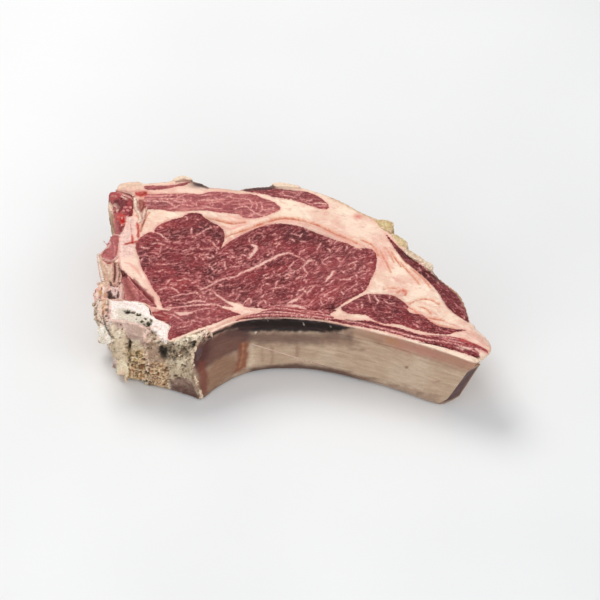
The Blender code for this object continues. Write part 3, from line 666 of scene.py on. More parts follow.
def end_coats(p):
    """The ragged neck end, the flakes of dried fat and other local colour of the upper face."""
    pale, white, red = (240, 208, 192), (250, 226, 214), (206, 52, 44)
    # neck end meat
    p.area([(109, 192), (117, 190.6), (124, 193), (118, 199), (112, 201), (109, 198)], (192, 88, 88), 0.75, 1.0, 0.8)
    p.area([(114, 201), (121, 199), (128, 201), (127, 206), (122, 211), (117, 210)], (112, 44, 48), 0.75, 1.6, 1.0)
    p.area([(126, 198), (133, 199), (133, 206), (129, 207)], (176, 78, 80), 0.7, 1.2, 0.8)
    for cu, cv, ru, rv in ((125.5, 207.6, 2.2, 1.3), (127.8, 210.6, 1.6, 1.2), (123.6, 210.8, 1.4, 1.0), (130.4, 207.6, 1.2, 1.2)):
        p.spot(cu, cv, ru, rv, (226, 140, 140), 0.9)
    p.area([(128, 212), (133, 210), (133, 215), (130, 216)], (128, 30, 34), 0.8, 0.8, 0.5)
    p.line([(117, 191.5), (123, 193), (129, 196), (133, 199)], [1.2, 1.6], (214, 160, 146), 0.7)
    p.area([(107.4, 204), (110.4, 200.6), (112.6, 206), (113.4, 211), (110, 211.4)], (240, 212, 190), 0.95, 0.8, 0.5)
    p.area([(113, 213), (118, 213), (117, 222), (119, 230), (121, 234), (115, 235), (113.4, 226)], (186, 104, 104), 0.85, 1.0, 0.9)
    p.spot(121.8, 219.6, 4.6, 5.4, (206, 72, 66), 0.85, 0.5)
    p.spot(123.2, 220.6, 2.8, 3.2, (196, 22, 20), 0.95)
    # painted highlight on the bright red lump
    p.spot(122.2, 218.6, 0.9, 1.0, (255, 190, 180), 0.8, 0.1)
    p.area([(119, 182), (140, 181), (143, 184), (140, 189), (120, 190)], (234, 196, 168), 0.6, 2.0, 1.4)
    p.line([(120, 189.6), (130, 191), (142, 190)], [2.0, 2.4], (214, 146, 132), 0.6, 1.2, 0.9)
    # the fat beside it, its cords and red streaks
    p.area([(126, 217), (135, 216), (136, 228), (133, 236), (136, 246), (134, 256), (120, 258), (119, 246), (121, 234), (126, 226)], (242, 206, 196), 0.75, 2.0, 1.2)
    p.area([(135, 192), (146, 190.6), (148, 194), (141, 196.4), (135, 195)], (208, 72, 64), 0.85, 1.2, 0.8)
    p.area([(139, 199), (144, 198), (145, 207), (142, 213), (138, 208)], (164, 70, 62), 0.8, 1.3, 0.9)
    p.line([(135, 199), (135.4, 208), (139, 214), (141, 219), (138.4, 223)], [2.6, 3.0], (250, 224, 204), 0.9, 0.9, 0.5)
    p.line([(143.6, 208), (142, 216), (143.4, 223), (141, 229)], [1.2, 1.4], (176, 118, 104), 0.7, 0.8, 0.5)
    p.line([(147.4, 206), (146, 214), (143, 224), (141, 232)], [1.6, 1.0], (206, 150, 134), 0.6, 0.8, 0.5)
    p.line([(137.4, 223.6), (138.6, 230), (138.4, 236.4)], [2.0, 2.4], red, 0.85, 0.9, 0.5)
    p.line([(130.6, 222), (131.4, 229), (132.6, 236)], [0.9, 0.9], (206, 128, 112), 0.8, 0.5, 0.3)
    p.line([(132.2, 236), (132.8, 240), (133, 242.4)], [1.8, 2.6], red, 0.9, 0.9, 0.5)
    p.line([(125.6, 243.8), (130, 242.6), (137.6, 241.4)], [1.6, 1.8], (212, 62, 48), 0.9, 0.8, 0.5)
    # torn flap, skin and splintered cluster under it
    p.area([(110.6, 235), (118.6, 234), (119.2, 246), (117.6, 256), (113.4, 262), (107, 261.6), (101.6, 254.6), (106, 247)], (188, 104, 102), 0.8, 1.0, 0.9)
    p.line([(109.6, 236), (114, 233.6), (119.6, 235)], [1.2, 1.4], (238, 196, 190), 0.8)
    p.line([(108.6, 238.6), (111, 243.4), (106.6, 248), (99.4, 252.6)], [1.0, 1.6], (240, 200, 192), 0.8)
    p.line([(104, 257), (108, 260), (113, 260.4), (118, 256)], [1.4, 1.6], (240, 196, 188), 0.85)
    p.line([(113.4, 240), (115.6, 248), (114.6, 256)], [1.0, 1.0], (220, 150, 146), 0.7)
    p.area([(98, 253), (101.6, 256.4), (105, 262), (112.4, 264), (113.4, 280), (108, 284.6), (103.6, 282), (100.6, 270)], (222, 184, 160), 0.95, 0.9, 0.7)
    p.line([(98.4, 253.6), (100, 262), (101.6, 271), (104, 281)], [1.6, 2.2], (248, 232, 218), 0.9, 0.8, 0.4)
    p.line([(105, 263), (108, 266.4), (110, 272)], [1.6, 1.0], (244, 220, 204), 0.8, 0.8, 0.5)
    p.line([(106, 272), (109, 279)], [2.0, 2.4], (186, 138, 112), 0.5, 1.2, 0.8)
    p.area([(112.6, 261), (120.6, 261), (121.4, 276), (119.6, 284), (113.4, 284)], (206, 156, 138), 0.95, 0.9, 0.6)
    p.line([(115.4, 262), (115.8, 270), (114.8, 280)], [1.6, 2.2], (112, 60, 52), 0.9, 0.7, 0.5)
    p.line([(118.0, 263), (118.6, 272), (117.8, 281)], [1.6, 1.4], (236, 196, 184), 0.8, 0.6, 0.4)
    p.line([(120.4, 265), (120.8, 276)], [0.9, 0.9], (140, 84, 74), 0.6, 0.6, 0.4)
    # near-black arc along the groove cut in the relief: painted shade
    p.line([(111, 280), (112.6, 284.8), (117, 286), (121, 283)], [1.6, 1.8], (70, 36, 32), 0.9, 0.7, 0.4)
    p.area([(99, 278.6), (104.4, 282), (109.6, 285.4), (109, 298), (96, 298), (94.6, 290)], (226, 186, 168), 0.95, 1.0, 0.9)
    for cu, cv, ru, rv, c in (
        (99.4, 281.4, 1.8, 2.2, white), (103, 285.6, 2.4, 1.8, (238, 206, 176)), (98, 288.6, 2.4, 2.2, (236, 178, 160)), (101.6, 292.4, 1.6, 2.6, (202, 150, 92)),
        (97, 294, 1.6, 2.2, white), (104.4, 290, 1.4, 3.6, white), (106.6, 295, 1.4, 3.0, (210, 150, 120)), (108, 287, 1.6, 1.4, (236, 190, 176)),
        (100.6, 297, 1.6, 1.4, (168, 96, 84)), (102.6, 288.6, 0.9, 1.4, (150, 84, 62)), (96.4, 290.6, 0.8, 1.4, (170, 96, 80)),
    ):
        p.spot(cu, cv, ru, rv, c, 0.9, 0.35, 0.6)
    # the gap lowered in the relief is painted near-black: painted shade
    p.area([(107.6, 290.6), (111, 289), (119.4, 288), (121, 291), (119.4, 297), (114, 298.6), (109.6, 296.6)], (58, 26, 26), 0.92, 0.9, 1.2, 0.5)
    p.area([(111, 285.6), (116, 286), (119.4, 288), (118.8, 292), (117.4, 297), (114, 294.6), (111.4, 289.8)], (240, 206, 198), 0.95, 0.8, 0.9, 0.5)
    p.spot(116.4, 290.6, 0.9, 1.6, (150, 84, 80), 0.7, 0.4, 0.8)
    p.area([(119.6, 285.6), (123.6, 282.6), (124.4, 290), (124, 299.6), (119.4, 299)], (242, 200, 188), 0.9, 0.9, 0.6)
    # beside the chine
    # the slit sunk in the relief is painted near-black: painted shade
    p.area([(120.6, 269), (124.6, 269.6), (129, 275.6), (127, 277.8), (122.6, 276.4)], (52, 18, 18), 0.85, 0.8, 0.6)
    p.line([(123.4, 271.6), (125.6, 275)], [1.0, 1.2], (206, 116, 102), 0.9, 0.5, 0.2)
    p.area([(123, 279), (131, 280), (134, 290), (137, 299.4), (124.6, 299)], (188, 110, 102), 0.55, 2.0, 1.4)
    p.line([(126, 280), (129, 288), (134, 298)], [2.4, 3.4], (146, 66, 64), 0.7, 1.4, 1.2)
    p.line([(131, 281), (133.4, 289), (139, 298.6)], [1.0, 1.2], (214, 140, 130), 0.6, 0.8, 0.8)
    p.line([(124, 284), (125, 291), (127, 298)], [0.9, 1.4], (222, 158, 146), 0.6, 0.8, 0.8)
    p.line([(134, 279), (139, 285), (146, 292), (153, 300)], [3.0, 5.0], (128, 36, 40), 0.75, 1.4, 1.2)
    p.line([(141, 292), (147, 297.6), (152, 303)], [1.2, 1.0], (214, 132, 122), 0.7, 0.5, 0.5)
    p.line([(128, 276.6), (133, 282.6), (139, 289)], [0.9, 0.9], (212, 136, 122), 0.6, 0.5, 0.4)
    # bright meat against the chine, pale skin over its edge
    p.area([(151, 309), (160, 311.4), (166, 314.6), (173, 319.6), (168, 320.4), (160, 317.6), (154, 315)], (172, 62, 60), 0.6, 1.6, 1.4)
    p.line([(154, 313.4), (160, 314.6), (168, 317)], [0.7, 0.8], (232, 170, 160), 0.6, 0.5, 0.5)
    p.area([(147, 304.6), (152.6, 306.4), (160, 308.6), (158, 311.6), (151.4, 310)], (234, 170, 158), 0.85, 1.0, 0.7)
    p.line([(199, 332.6), (210, 329), (222, 323.6), (234, 318.6), (248, 314)], [2.2, 3.4], (224, 152, 136), 0.65, 1.0, 0.6)
    p.line([(182, 338.4), (192, 335), (203, 330.4)], [1.4, 2.0], (236, 196, 176), 0.7, 0.8, 0.5)
    # yellow flakes of dried fat and tabs of rind at the back edge
    p.area([(374, 219), (383, 219.4), (393, 222.6), (393.6, 227), (390, 232), (384, 229.6), (378, 224.6)], (216, 188, 134), 0.9, 1.6, 1.2, 0.3)
    p.area([(380, 221.4), (388, 222.4), (387, 227), (381, 225)], (236, 214, 164), 0.7, 1.2, 1.0, 0.4)
    p.area([(391, 232.4), (400, 236), (408, 241.6), (406.4, 248.4), (400, 246), (394, 239.6)], (222, 196, 150), 0.9, 1.0, 0.8, 0.4)
    p.area([(397, 236), (404, 239.4), (406, 243), (401, 242)], (232, 210, 164), 0.7, 0.9, 0.8, 0.5)
    p.area([(405, 247), (413, 251.6), (424, 258.6), (424, 261), (416, 258), (406, 251)], (228, 202, 172), 0.85, 0.8, 0.7, 0.5)
    p.area([(423.6, 260), (431.6, 262.6), (432.6, 268), (428, 267.6), (423.6, 263.6)], (234, 214, 188), 0.9, 0.8, 0.6, 0.5)
    p.line([(433, 268), (436, 272), (440, 275.4)], [1.6, 1.0], (110, 96, 88), 0.8, 0.6, 0.4)
    p.line([(449, 282.4), (455.6, 288), (460.6, 294.6), (463.4, 301)], [1.4, 2.0], (206, 172, 142), 0.75, 0.7, 0.5)
    p.line([(330, 197), (346, 204.4), (358, 211.2), (371, 216.8)], [1.6, 2.2], (206, 170, 132), 0.6, 0.9, 0.8)
    p.line([(352, 204.6), (356, 206.6)], [1.6, 1.0], (240, 214, 186), 0.9, 0.6, 0.4)
    # dark dried crust along the back
    p.area([(190, 179.6), (197, 181.6), (208, 186.4), (212, 188.4), (203, 187.4), (194, 184)], (84, 66, 64), 0.85, 0.9, 0.8, 0.4)
    p.area([(241, 188.4), (256, 186.4), (272, 184.6), (276, 187), (262, 189.6), (246, 190.6)], (78, 60, 60), 0.85, 1.0, 0.8, 0.4)
    p.line([(176, 181.4), (184, 179.4), (191, 181.6)], [2.0, 2.4], (150, 92, 84), 0.6, 1.0, 0.8)
    # torn edge of the tail
    p.area([(464, 330), (476, 329.6), (486, 337), (489.6, 344), (484, 344), (474, 338), (466, 334.6)], (236, 184, 166), 0.6, 1.6, 1.0)
    p.line([(458, 338.4), (464, 340.4), (470, 342.6)], [2.2, 1.6], (196, 62, 62), 0.75, 0.9, 0.7)
    p.line([(468, 343.6), (476, 345.2), (486, 347.8)], [1.0, 1.2], (192, 72, 72), 0.75, 0.6, 0.4)
    p.line([(455, 345.6), (463, 348.6), (472, 351.6), (479, 354.8)], [1.0, 1.2], (110, 34, 38), 0.8, 0.6, 0.4)
    p.area([(470, 357), (478, 355), (482, 352), (480, 358), (474, 362)], (240, 214, 190), 0.8, 0.8, 0.6)
    return p


# ---- the cut face, mesh ----------------------------------------------------------------------
free = grid_curve(FREE_EDGE, False, FINE)
free = free + outward(free, closed=False) * (0.35 * noise3(free * 0.55, 3) + 0.22 * noise3(free * 1.4, 4))[:, None]
front = grid_curve(FRONT_EDGE, False, FINE)
rear = grid_curve(CHINE_REAR, False, FINE)
OUTER = np.vstack([free, front, rear])
loops = {}
for name, pts in SEAMS.items():
    loops[name] = grid_curve(pts, True, FINE)

# the outer face of the rib and of the strip on it: upper edge, two fifths down, lower edge, thickness
RIB_FACE = [
    ((212.4, 331), (193.8, 357.2), (204.6, 401), 3.5), ((227, 324.3), (217, 348), (219.5, 388.5), 3.8),
    ((250, 318), (249, 340.4), (249, 374), 5.5), ((290, 316.8), (290, 338.8), (290, 369.8), 8.6),
    ((330, 321.2), (330, 343.2), (330, 374.2), 9.0), ((370, 329.5), (369.4, 352), (368.5, 383.5), 9.5),
    ((410, 340), (406.8, 362.2), (402, 393.5), 9.5), ((450, 352.5), (441.4, 373), (428.5, 402.5), 9.0),
    ((472, 360.5), (459.4, 378.3), (440.5, 404.3), 8.5),
]
RIB_TOP = 40.0
CHINE_FRONT = [
    ((211.0, 330.4), (192.2, 356.7), (203.0, 400.6)), ((197, 335.5), (183, 355.5), (192, 397)),
    ((178, 342), (171, 358), (175, 391.5)), ((160, 342), (156, 357.5), (156, 386.5)),
    ((147, 336), (147, 355.5), (147, 382.5)), ((124, 330), (125, 352.5), (127, 378.5)),
    ((107, 334), (113, 350), (117.6, 372)), ((101, 329), (109, 343), (114.6, 362)),
    ((96, 306), (103.5, 325), (112.4, 350)),
]
CHINE_BACK = [
    (97, 297), (110, 297.2), (133, 299), (144, 301.2), (150.5, 306.4), (152, 313.5), (170.5, 322.8),
    (172.5, 334.4), (180, 334.6), (199.5, 327.4), (207.2, 324.6),
]


def through(low, middle, top, z):
    """A face's plan points at height z, from those at the foot, at three fifths and at the top."""
    t = np.asarray(z, float) / THICK
    if t.ndim:
        t = t[:, None]
    return low * ((t - 0.6) * (t - 1.0) / 0.6) + middle * (t * (t - 1.0) / -0.24) + top * (t * (t - 0.6) / 0.4)


RIB_TOP_LINE = spline([at(*f[0], THICK) for f in RIB_FACE], False)
RIB_MID_LINE = spline([at(*f[1], 0.6 * THICK) for f in RIB_FACE], False)
RIB_LOW_LINE = spline([at(*f[2], 0.0) for f in RIB_FACE], False)
RIB_WIDE = spline([(f[3], 0.0) for f in RIB_FACE], False)[:, 0]


def rib_shift(x, z):
    """How far the rib's face at height z lies from its upper edge, for upper-edge points at x."""
    order = np.argsort(RIB_TOP_LINE[:, 0])
    get = lambda line, k: np.interp(x, RIB_TOP_LINE[order, 0], line[order, k])
    low, mid, top = (np.column_stack([get(line, 0), get(line, 1)]) for line in (RIB_LOW_LINE, RIB_MID_LINE, RIB_TOP_LINE))
    return through(low, mid, top, z) - top


nf, nr, nq = len(free), len(front), len(rear)
strip_width = np.interp(to_u(front[::-1, 0]), [f[0][0] for f in RIB_FACE], [f[3] for f in RIB_FACE])[::-1]
grow = np.minimum(np.arange(nr), np.arange(nr)[::-1]) / 9.0
inner = front - outward(front[::-1], closed=False)[::-1] * (strip_width * np.clip(grow, 0, 1) ** 0.7)[:, None]
STRIP_BACK = spaced(inner[5:-5], FINE, False)
KIND = np.concatenate([np.zeros(nf), np.ones(nr), np.full(nq, 2)])  # free edge, front, chine
rear_low = spaced(np.array([at(*p) for p in CHINE_BACK[::-1]]), 0.2, False)
share = np.linspace(0, 1, nq)
run = np.concatenate([[0], np.cumsum(np.linalg.norm(np.diff(rear_low, axis=0), axis=1))])
rear_low = np.stack([np.interp(share * run[-1], run, rear_low[:, k]) for k in (0, 1)], axis=1)
rear_low = rear_low - outward(rear_low, closed=False) * 0.3


def tuck(points):
    """Where the corner of the tail stands on the lower face."""
    v = to_v(points[:, 1])
    moved = points.copy()
    end = (to_u(points[:, 0]) > 460) & (v > 347)
    moved[end, 1] = (V0 - (347 + (v[end] - 347) * 0.33)) * STEP_Y
    u = to_u(points[:, 0])
    moved[:, 0] -= 5.4 * ramp(u, 455, 486) * ramp(v, 316, 340)
    return moved


front_low = front + rib_shift(front[:, 0], 0.0)
front_low[0] = tuck(front[:1])[0]
front_low[-1] = RIB_TOP_LINE[0] + (0.6, 3.2)
OUTER_LOW = np.vstack([tuck(free), front_low, rear_low])
OUTER_STRIP = np.vstack([free, front + rib_shift(front[:, 0], RIB_TOP), rear])


def triangulate(outer, spacing, keep_clear, seed):
    """A triangulation of the cut face: outline, the muscles' outlines and the line behind the strip come first."""
    rings = [outer] + [loops[n] for n in NAMES]
    ring = np.vstack(rings + [STRIP_BACK])
    lo, hi = outer.min(0), outer.max(0)
    ny = int((hi[1] - lo[1]) / (spacing * 0.866)) + 1
    nx = int((hi[0] - lo[0]) / spacing) + 1
    gx, gy = np.meshgrid(np.arange(nx), np.arange(ny))
    pts = np.column_stack([(lo[0] + (gx + 0.5 * (gy % 2)) * spacing).ravel(), (lo[1] + gy * spacing * 0.866).ravel()])
    rng = np.random.default_rng(seed)
    pts = pts + rng.uniform(-0.16, 0.16, pts.shape) * spacing
    pts = pts[inside(pts, outer)]
    clear = np.ones(len(pts), bool)
    cell = keep_clear
    taken = {}
    for p in ring:
        taken.setdefault((int(math.floor(p[0] / cell)), int(math.floor(p[1] / cell))), []).append(p)
    keys = np.floor(pts / cell).astype(int)
    for i, (kx, ky) in enumerate(keys.tolist()):
        for dx in (-1, 0, 1):
            for dy in (-1, 0, 1):
                for q in taken.get((kx + dx, ky + dy), ()):
                    if (q[0] - pts[i, 0]) ** 2 + (q[1] - pts[i, 1]) ** 2 < cell * cell:
                        clear[i] = False
    pts = pts[clear]
    edges, start = [], 0
    for r in rings:
        edges += [(start + k, start + (k + 1) % len(r)) for k in range(len(r))]
        start += len(r)
    line = [nf] + list(range(start, start + len(STRIP_BACK))) + [nf + nr - 1]
    edges += list(zip(line[:-1], line[1:]))
    all_pts = np.vstack([ring, pts])
    made = delaunay_2d_cdt([Vector(p) for p in all_pts], edges, [], 1, 1e-7)
    flat = np.array([tuple(p) for p in made[0]])
    if len(flat) != len(all_pts):
        print("outlines meet:", len(flat) - len(all_pts))
    faces = np.array(made[2])
    middle = flat[faces].mean(axis=1)
    owner = np.full(len(faces), -1)
    for k, n in enumerate(NAMES):
        owner[inside(middle, loops[n])] = k
    poly = np.vstack([outer[nf : nf + nr], STRIP_BACK[::-1]])
    owner[(owner < 0) & inside(middle, poly)] = len(NAMES)
    return flat, faces, owner


NAMES = list(loops)
SHARED = len(OUTER) + sum(len(r) for r in loops.values()) + len(STRIP_BACK)
top_flat, top_faces, top_owner = triangulate(OUTER, FINE, FINE * 0.5, 5)
low_flat, low_faces, low_owner = triangulate(OUTER_LOW, COARSE, FINE * 0.9, 6)
mid_flat, mid_faces, mid_owner = triangulate(OUTER_STRIP, COARSE, FINE * 0.9, 7)
print("cut face", len(top_flat), len(top_faces), "lower", len(low_flat), len(low_faces))
ends = np.minimum(np.arange(nf), np.arange(nf)[::-1]) / 14.0
RIM = np.concatenate([np.clip(ends, 0, 1), np.zeros(nr + nq)])


# ---- fields on the cut face ------------------------------------------------------------------
lean_loops = [grid_curve(pts, True, 0.8) for pts in LEAN]


def random_strands(seed, count, region, length, width, heading):
    """Short wavy strands of fat inside a loop."""
    rng = np.random.default_rng(seed)
    lo, hi = region.min(0), region.max(0)
    out = []
    while len(out) < count:
        p = rng.uniform(lo, hi)
        if not inside(p[None], region)[0]:
            continue
        a = math.radians(heading(p) + rng.normal() * 34)
        line = [p]
        bend = rng.normal() * 0.22
        for _ in range(int(rng.integers(2, 5))):
            a += bend + rng.normal() * 0.25
            p = p + np.array([math.cos(a), math.sin(a)]) * rng.uniform(*length) / 3
            line.append(p)
        out.append((rng.uniform(*width), np.array(line)))
    return out


def strand_field(points, lines, best):
    for k, (width, line) in enumerate(lines):
        uneven = [width * (0.16 + 0.34 * abs(math.sin(1.9 * k + 2.3 * j))) for j in range(len(line))]
        to_segments(points, line, uneven, 5.0, best)
    return best


def eye_heading(p):
    u = to_u(p[0])
    return 20 + 24 * float(smooth((u - 230) / 120))


eye_loop = grid_curve(LEAN[0], True, 1.0)
com_loop = grid_curve(LEAN[1], True, 1.0)
strands = random_strands(21, 190, eye_loop, (1.2, 4.4), (0.3, 1.25), eye_heading)
strands += random_strands(22, 110, com_loop, (1.0, 3.4), (0.3, 1.0), lambda p: 10)
strands += random_strands(23, 40, grid_curve(LEAN[3], True, 1.0), (3.0, 9.0), (0.3, 0.8), lambda p: -4)
strands += random_strands(24, 14, grid_curve(LEAN[6], True, 1.0), (2.0, 6.0), (0.3, 0.7), lambda p: -14)
strands += random_strands(25, 12, grid_curve(LEAN[2], True, 1.0), (2.0, 6.0), (0.3, 0.7), lambda p: 16)
strands += random_strands(26, 9, grid_curve(LEAN[5], True, 1.0), (1.5, 4.0), (0.3, 0.6), lambda p: -40)
strands += random_strands(27, 10, grid_curve(LEAN[4], True, 1.0), (2.0, 5.0), (0.3, 0.6), lambda p: -10)


def fields(flat):
    """All that the cut face's colour and relief depend on, at points of the plan."""
    out = {}
    out["lean"] = signed(flat, lean_loops, 6.0)
    pale = strokes(flat, PALE, 5.0, 0.35)
    out["pale"] = strand_field(flat, strands, pale)
    out["crease"] = strokes(flat, CREASE, 4.0, 0.25)
    out["pink"] = strokes(flat, PINK, 4.0, 0.5)
    out["line"] = strokes(flat, DARK_LINES, 4.0, 0.3)
    out["dark"] = np.maximum(spots(flat, DARK_SPOTS), spots(flat, FLANK_DARK) * (out["lean"] > -0.5))
    out["red"] = spots(flat, RED_SPOTS)
    u, v = to_u(flat[:, 0]), to_v(flat[:, 1])
    cap = np.maximum.reduce(
        [
            ramp(signed(flat, [lean_loops[3]]), -1.5, 0.5), 0.32 * ramp(signed(flat, [lean_loops[4]]), -1.5, 0.5),
            0.55 * ramp(signed(flat, [lean_loops[8]]), -1.5, 0.5), 0.8 * ramp(signed(flat, [lean_loops[13]]), -1.5, 0.5),
            0.6 * ramp(signed(flat, [lean_loops[10]]), -1.5, 0.5), 0.03 * ramp(signed(flat, [lean_loops[7]]), -1.5, 0.5),
        ]
    )
    out["cap"] = np.maximum(cap, spots(flat, PALE_LEAN_SPOTS))
    edge = np.vstack([free, free[-1:]])
    out["rim"] = to_segments(flat, edge, [0, 0], 8.0)
    return out


top_f = fields(top_flat)
low_f = fields(low_flat)
mid_f = {k: np.zeros(len(mid_flat)) + (6.0 if k in ("pale", "crease", "pink", "line", "rim") else 0.0) for k in top_f}


def relief(flat, f):
    """Height of the upper cut face."""
    lean, pale, crease, rim = f["lean"], f["pale"], f["crease"], f["rim"]
    u, v = to_u(flat[:, 0]), to_v(flat[:, 1])
    z = THICK - 0.55 + 0.55 * fbm(flat * 0.035, 2, 3) + 0.16 * fbm(flat * 0.16, 3, 5)
    z = z + 0.75 * (1 - np.exp(-np.clip(lean, 0, 9) / 5.0))
    z = z - 0.40 * np.exp(-((lean + 0.1) / 0.55) ** 2)
    z = z + ramp(lean, 0, 1.0) * (0.11 * noise3(flat * 0.95, 7) + 0.07 * noise3(flat * 1.9, 8))
    z = z + ramp(-lean, 0, 1.0) * (0.13 * noise3(flat * 0.35, 9) + 0.05 * noise3(flat * 1.2, 10))
    z = z + 0.12 * ramp(-pale, -0.4, 0.5) * ramp(lean, 0, 0.8)
    z = z - 0.85 * ramp(-crease, -0.7, 0.5) * ramp(-lean, -0.2, 0.6)
    z = z + 0.35 * np.exp(-((crease - 1.6) / 0.9) ** 2) * ramp(-lean, 0.0, 0.8)
    z = z - 0.7 * ramp(-f["line"], -0.5, 0.5)
    z = z - 2.4 * spots(flat, [(332, 306.5, 3.6, 1.6, 1.0), (123.5, 273.8, 2.4, 1.4, 1.2), (330, 308, 3, 1.2, 0.6)])
    z = z + 1.3 * spots(flat, [(121.8, 219.8, 5.0, 5.0, 1.0), (127, 208, 4, 3, 0.5), (186, 286, 5.5, 4, 0.3), (138.6, 215, 2.6, 8, 0.7), (103, 286, 3, 3, 0.8), (98, 290, 2.4, 3, 0.8), (115, 290, 3, 3, 0.9), (104, 291, 1.6, 4, 0.8), (389, 225, 6, 4, 0.7), (401, 240, 7, 4, 0.7), (427, 263.6, 5, 3, 0.7)])
    z = z - 2.4 * spots(flat, [(110.4, 294.6, 2.0, 2.6, 1.0), (119.4, 294.4, 1.4, 2.8, 0.8), (115, 297, 5, 1.0, 0.7), (123.4, 272.6, 2.8, 1.8, 0.5), (126.4, 275.8, 2.4, 1.4, 0.4), (115, 285.4, 4.0, 0.9, 0.6), (115.4, 271, 0.9, 9, 0.4)])
    z = z - 1.2 * ramp(signed(flat, [grid_curve([(104, 257), (113, 262.6), (121, 262), (121, 284), (104, 284), (100, 268)], True, 1.0)]), -0.6, 1.4)
    rough = ramp(-u, -124, -104)  # the torn end
    z = z + rough * (1.3 * fbm(flat * 0.22, 3, 14) - 0.2)
    shoulder = 0.75 + 2.6 * ramp(u, 385, 440) + 0.2 * ramp(-u, -140, -110)
    z = z - shoulder * np.exp(-rim / (0.9 + 2.0 * ramp(u, 385, 440)))
    z = z - 2.2 * ramp(lean, -2, 1) * ramp(u - 0.9 * (v - 262), 400, 425) * ramp(u, 385, 410)
    return z


top_z = relief(top_flat, top_f)
TINT_SPOTS = [(128, 190, 22, 5, 0.9), (190, 187, 44, 5, 0.5), (380, 250, 14, 22, 0.6), (405, 285, 22, 14, 0.3), (126, 230, 16, 44, 0.9), (112, 280, 14, 26, 0.9), (240, 222, 26, 8, 0.6), (330, 230, 60, 12, 0.35), (150, 290, 12, 16, 0.6), (470, 335, 18, 12, 0.5), (230, 312, 30, 6, 0.6)]
TOP_PAINT = end_coats(Paint(np.column_stack([top_flat, np.full(len(top_flat), THICK)])))

# ---- meshes ----------------------------------------------------------------------------------
ALL = []


def make(name, verts, faces, attrs, mat, sharp=35.0):
    mesh = bpy.data.meshes.new(name)
    faces = [tuple(int(i) for i in f) for f in faces]
    mesh.from_pydata((np.asarray(verts) * 0.001).tolist(), [], faces)
    mesh.update()
    for key, values in (attrs or {}).items():
        values = np.asarray(values, dtype=np.float32)
        if values.ndim == 1:
            a = mesh.attributes.new(key, "FLOAT", "POINT")
            a.data.foreach_set("value", values)
        elif values.shape[1] == 3:
            a = mesh.attributes.new(key, "FLOAT_VECTOR", "POINT")
            a.data.foreach_set("vector", values.ravel())
        else:
            a = mesh.attributes.new(key, "FLOAT_COLOR", "POINT")
            a.data.foreach_set("color", values.ravel())
    mesh.shade_smooth()
    if sharp:
        mesh.set_sharp_from_angle(angle=math.radians(sharp))
    obj = bpy.data.objects.new(name, mesh)
    bpy.context.scene.collection.objects.link(obj)
    if mat is not None:
        mesh.materials.append(mat)
    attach(obj, "root")
    ALL.append(obj)
    return obj


def boundary_loops(faces):
    """The free edges of a set of triangles, as directed loops of vertex numbers."""
    e = np.vstack([faces[:, [0, 1]], faces[:, [1, 2]], faces[:, [2, 0]]])
    have = set(map(tuple, e.tolist()))
    nxt = {}
    for a, b in e.tolist():
        if (b, a) not in have:
            nxt.setdefault(a, []).append(b)
    out = []
    while nxt:
        start = next(iter(nxt))
        ring = [start]
        here = nxt[start].pop()
        if not nxt[start]:
            del nxt[start]
        while here != start:
            ring.append(here)
            follow = nxt[here].pop()
            if not nxt[here]:
                del nxt[here]
            here = follow
        out.append(ring)
    return out


FIELD_KEYS = ("lean", "pale", "crease", "pink", "line", "dark", "red", "cap", "rim")


def wall_push(xy, z):
    """How far the free side stands out at height z."""
    body = np.sin(np.pi * np.clip(z / THICK, 0, 1)) ** 0.7
    p = np.column_stack([xy, z])
    push = 1.4 * body + 1.7 * fbm(p * (0.07, 0.07, 0.13), 4, 31, 0.6) * body + 0.36 * noise3(p * (0.3, 0.3, 0.7), 33) * np.clip(6 * body, 0, 1)
    return push - 1.0 * np.exp(-z / 1.0) - 0.5 * np.exp(-(THICK - z) / 0.8)


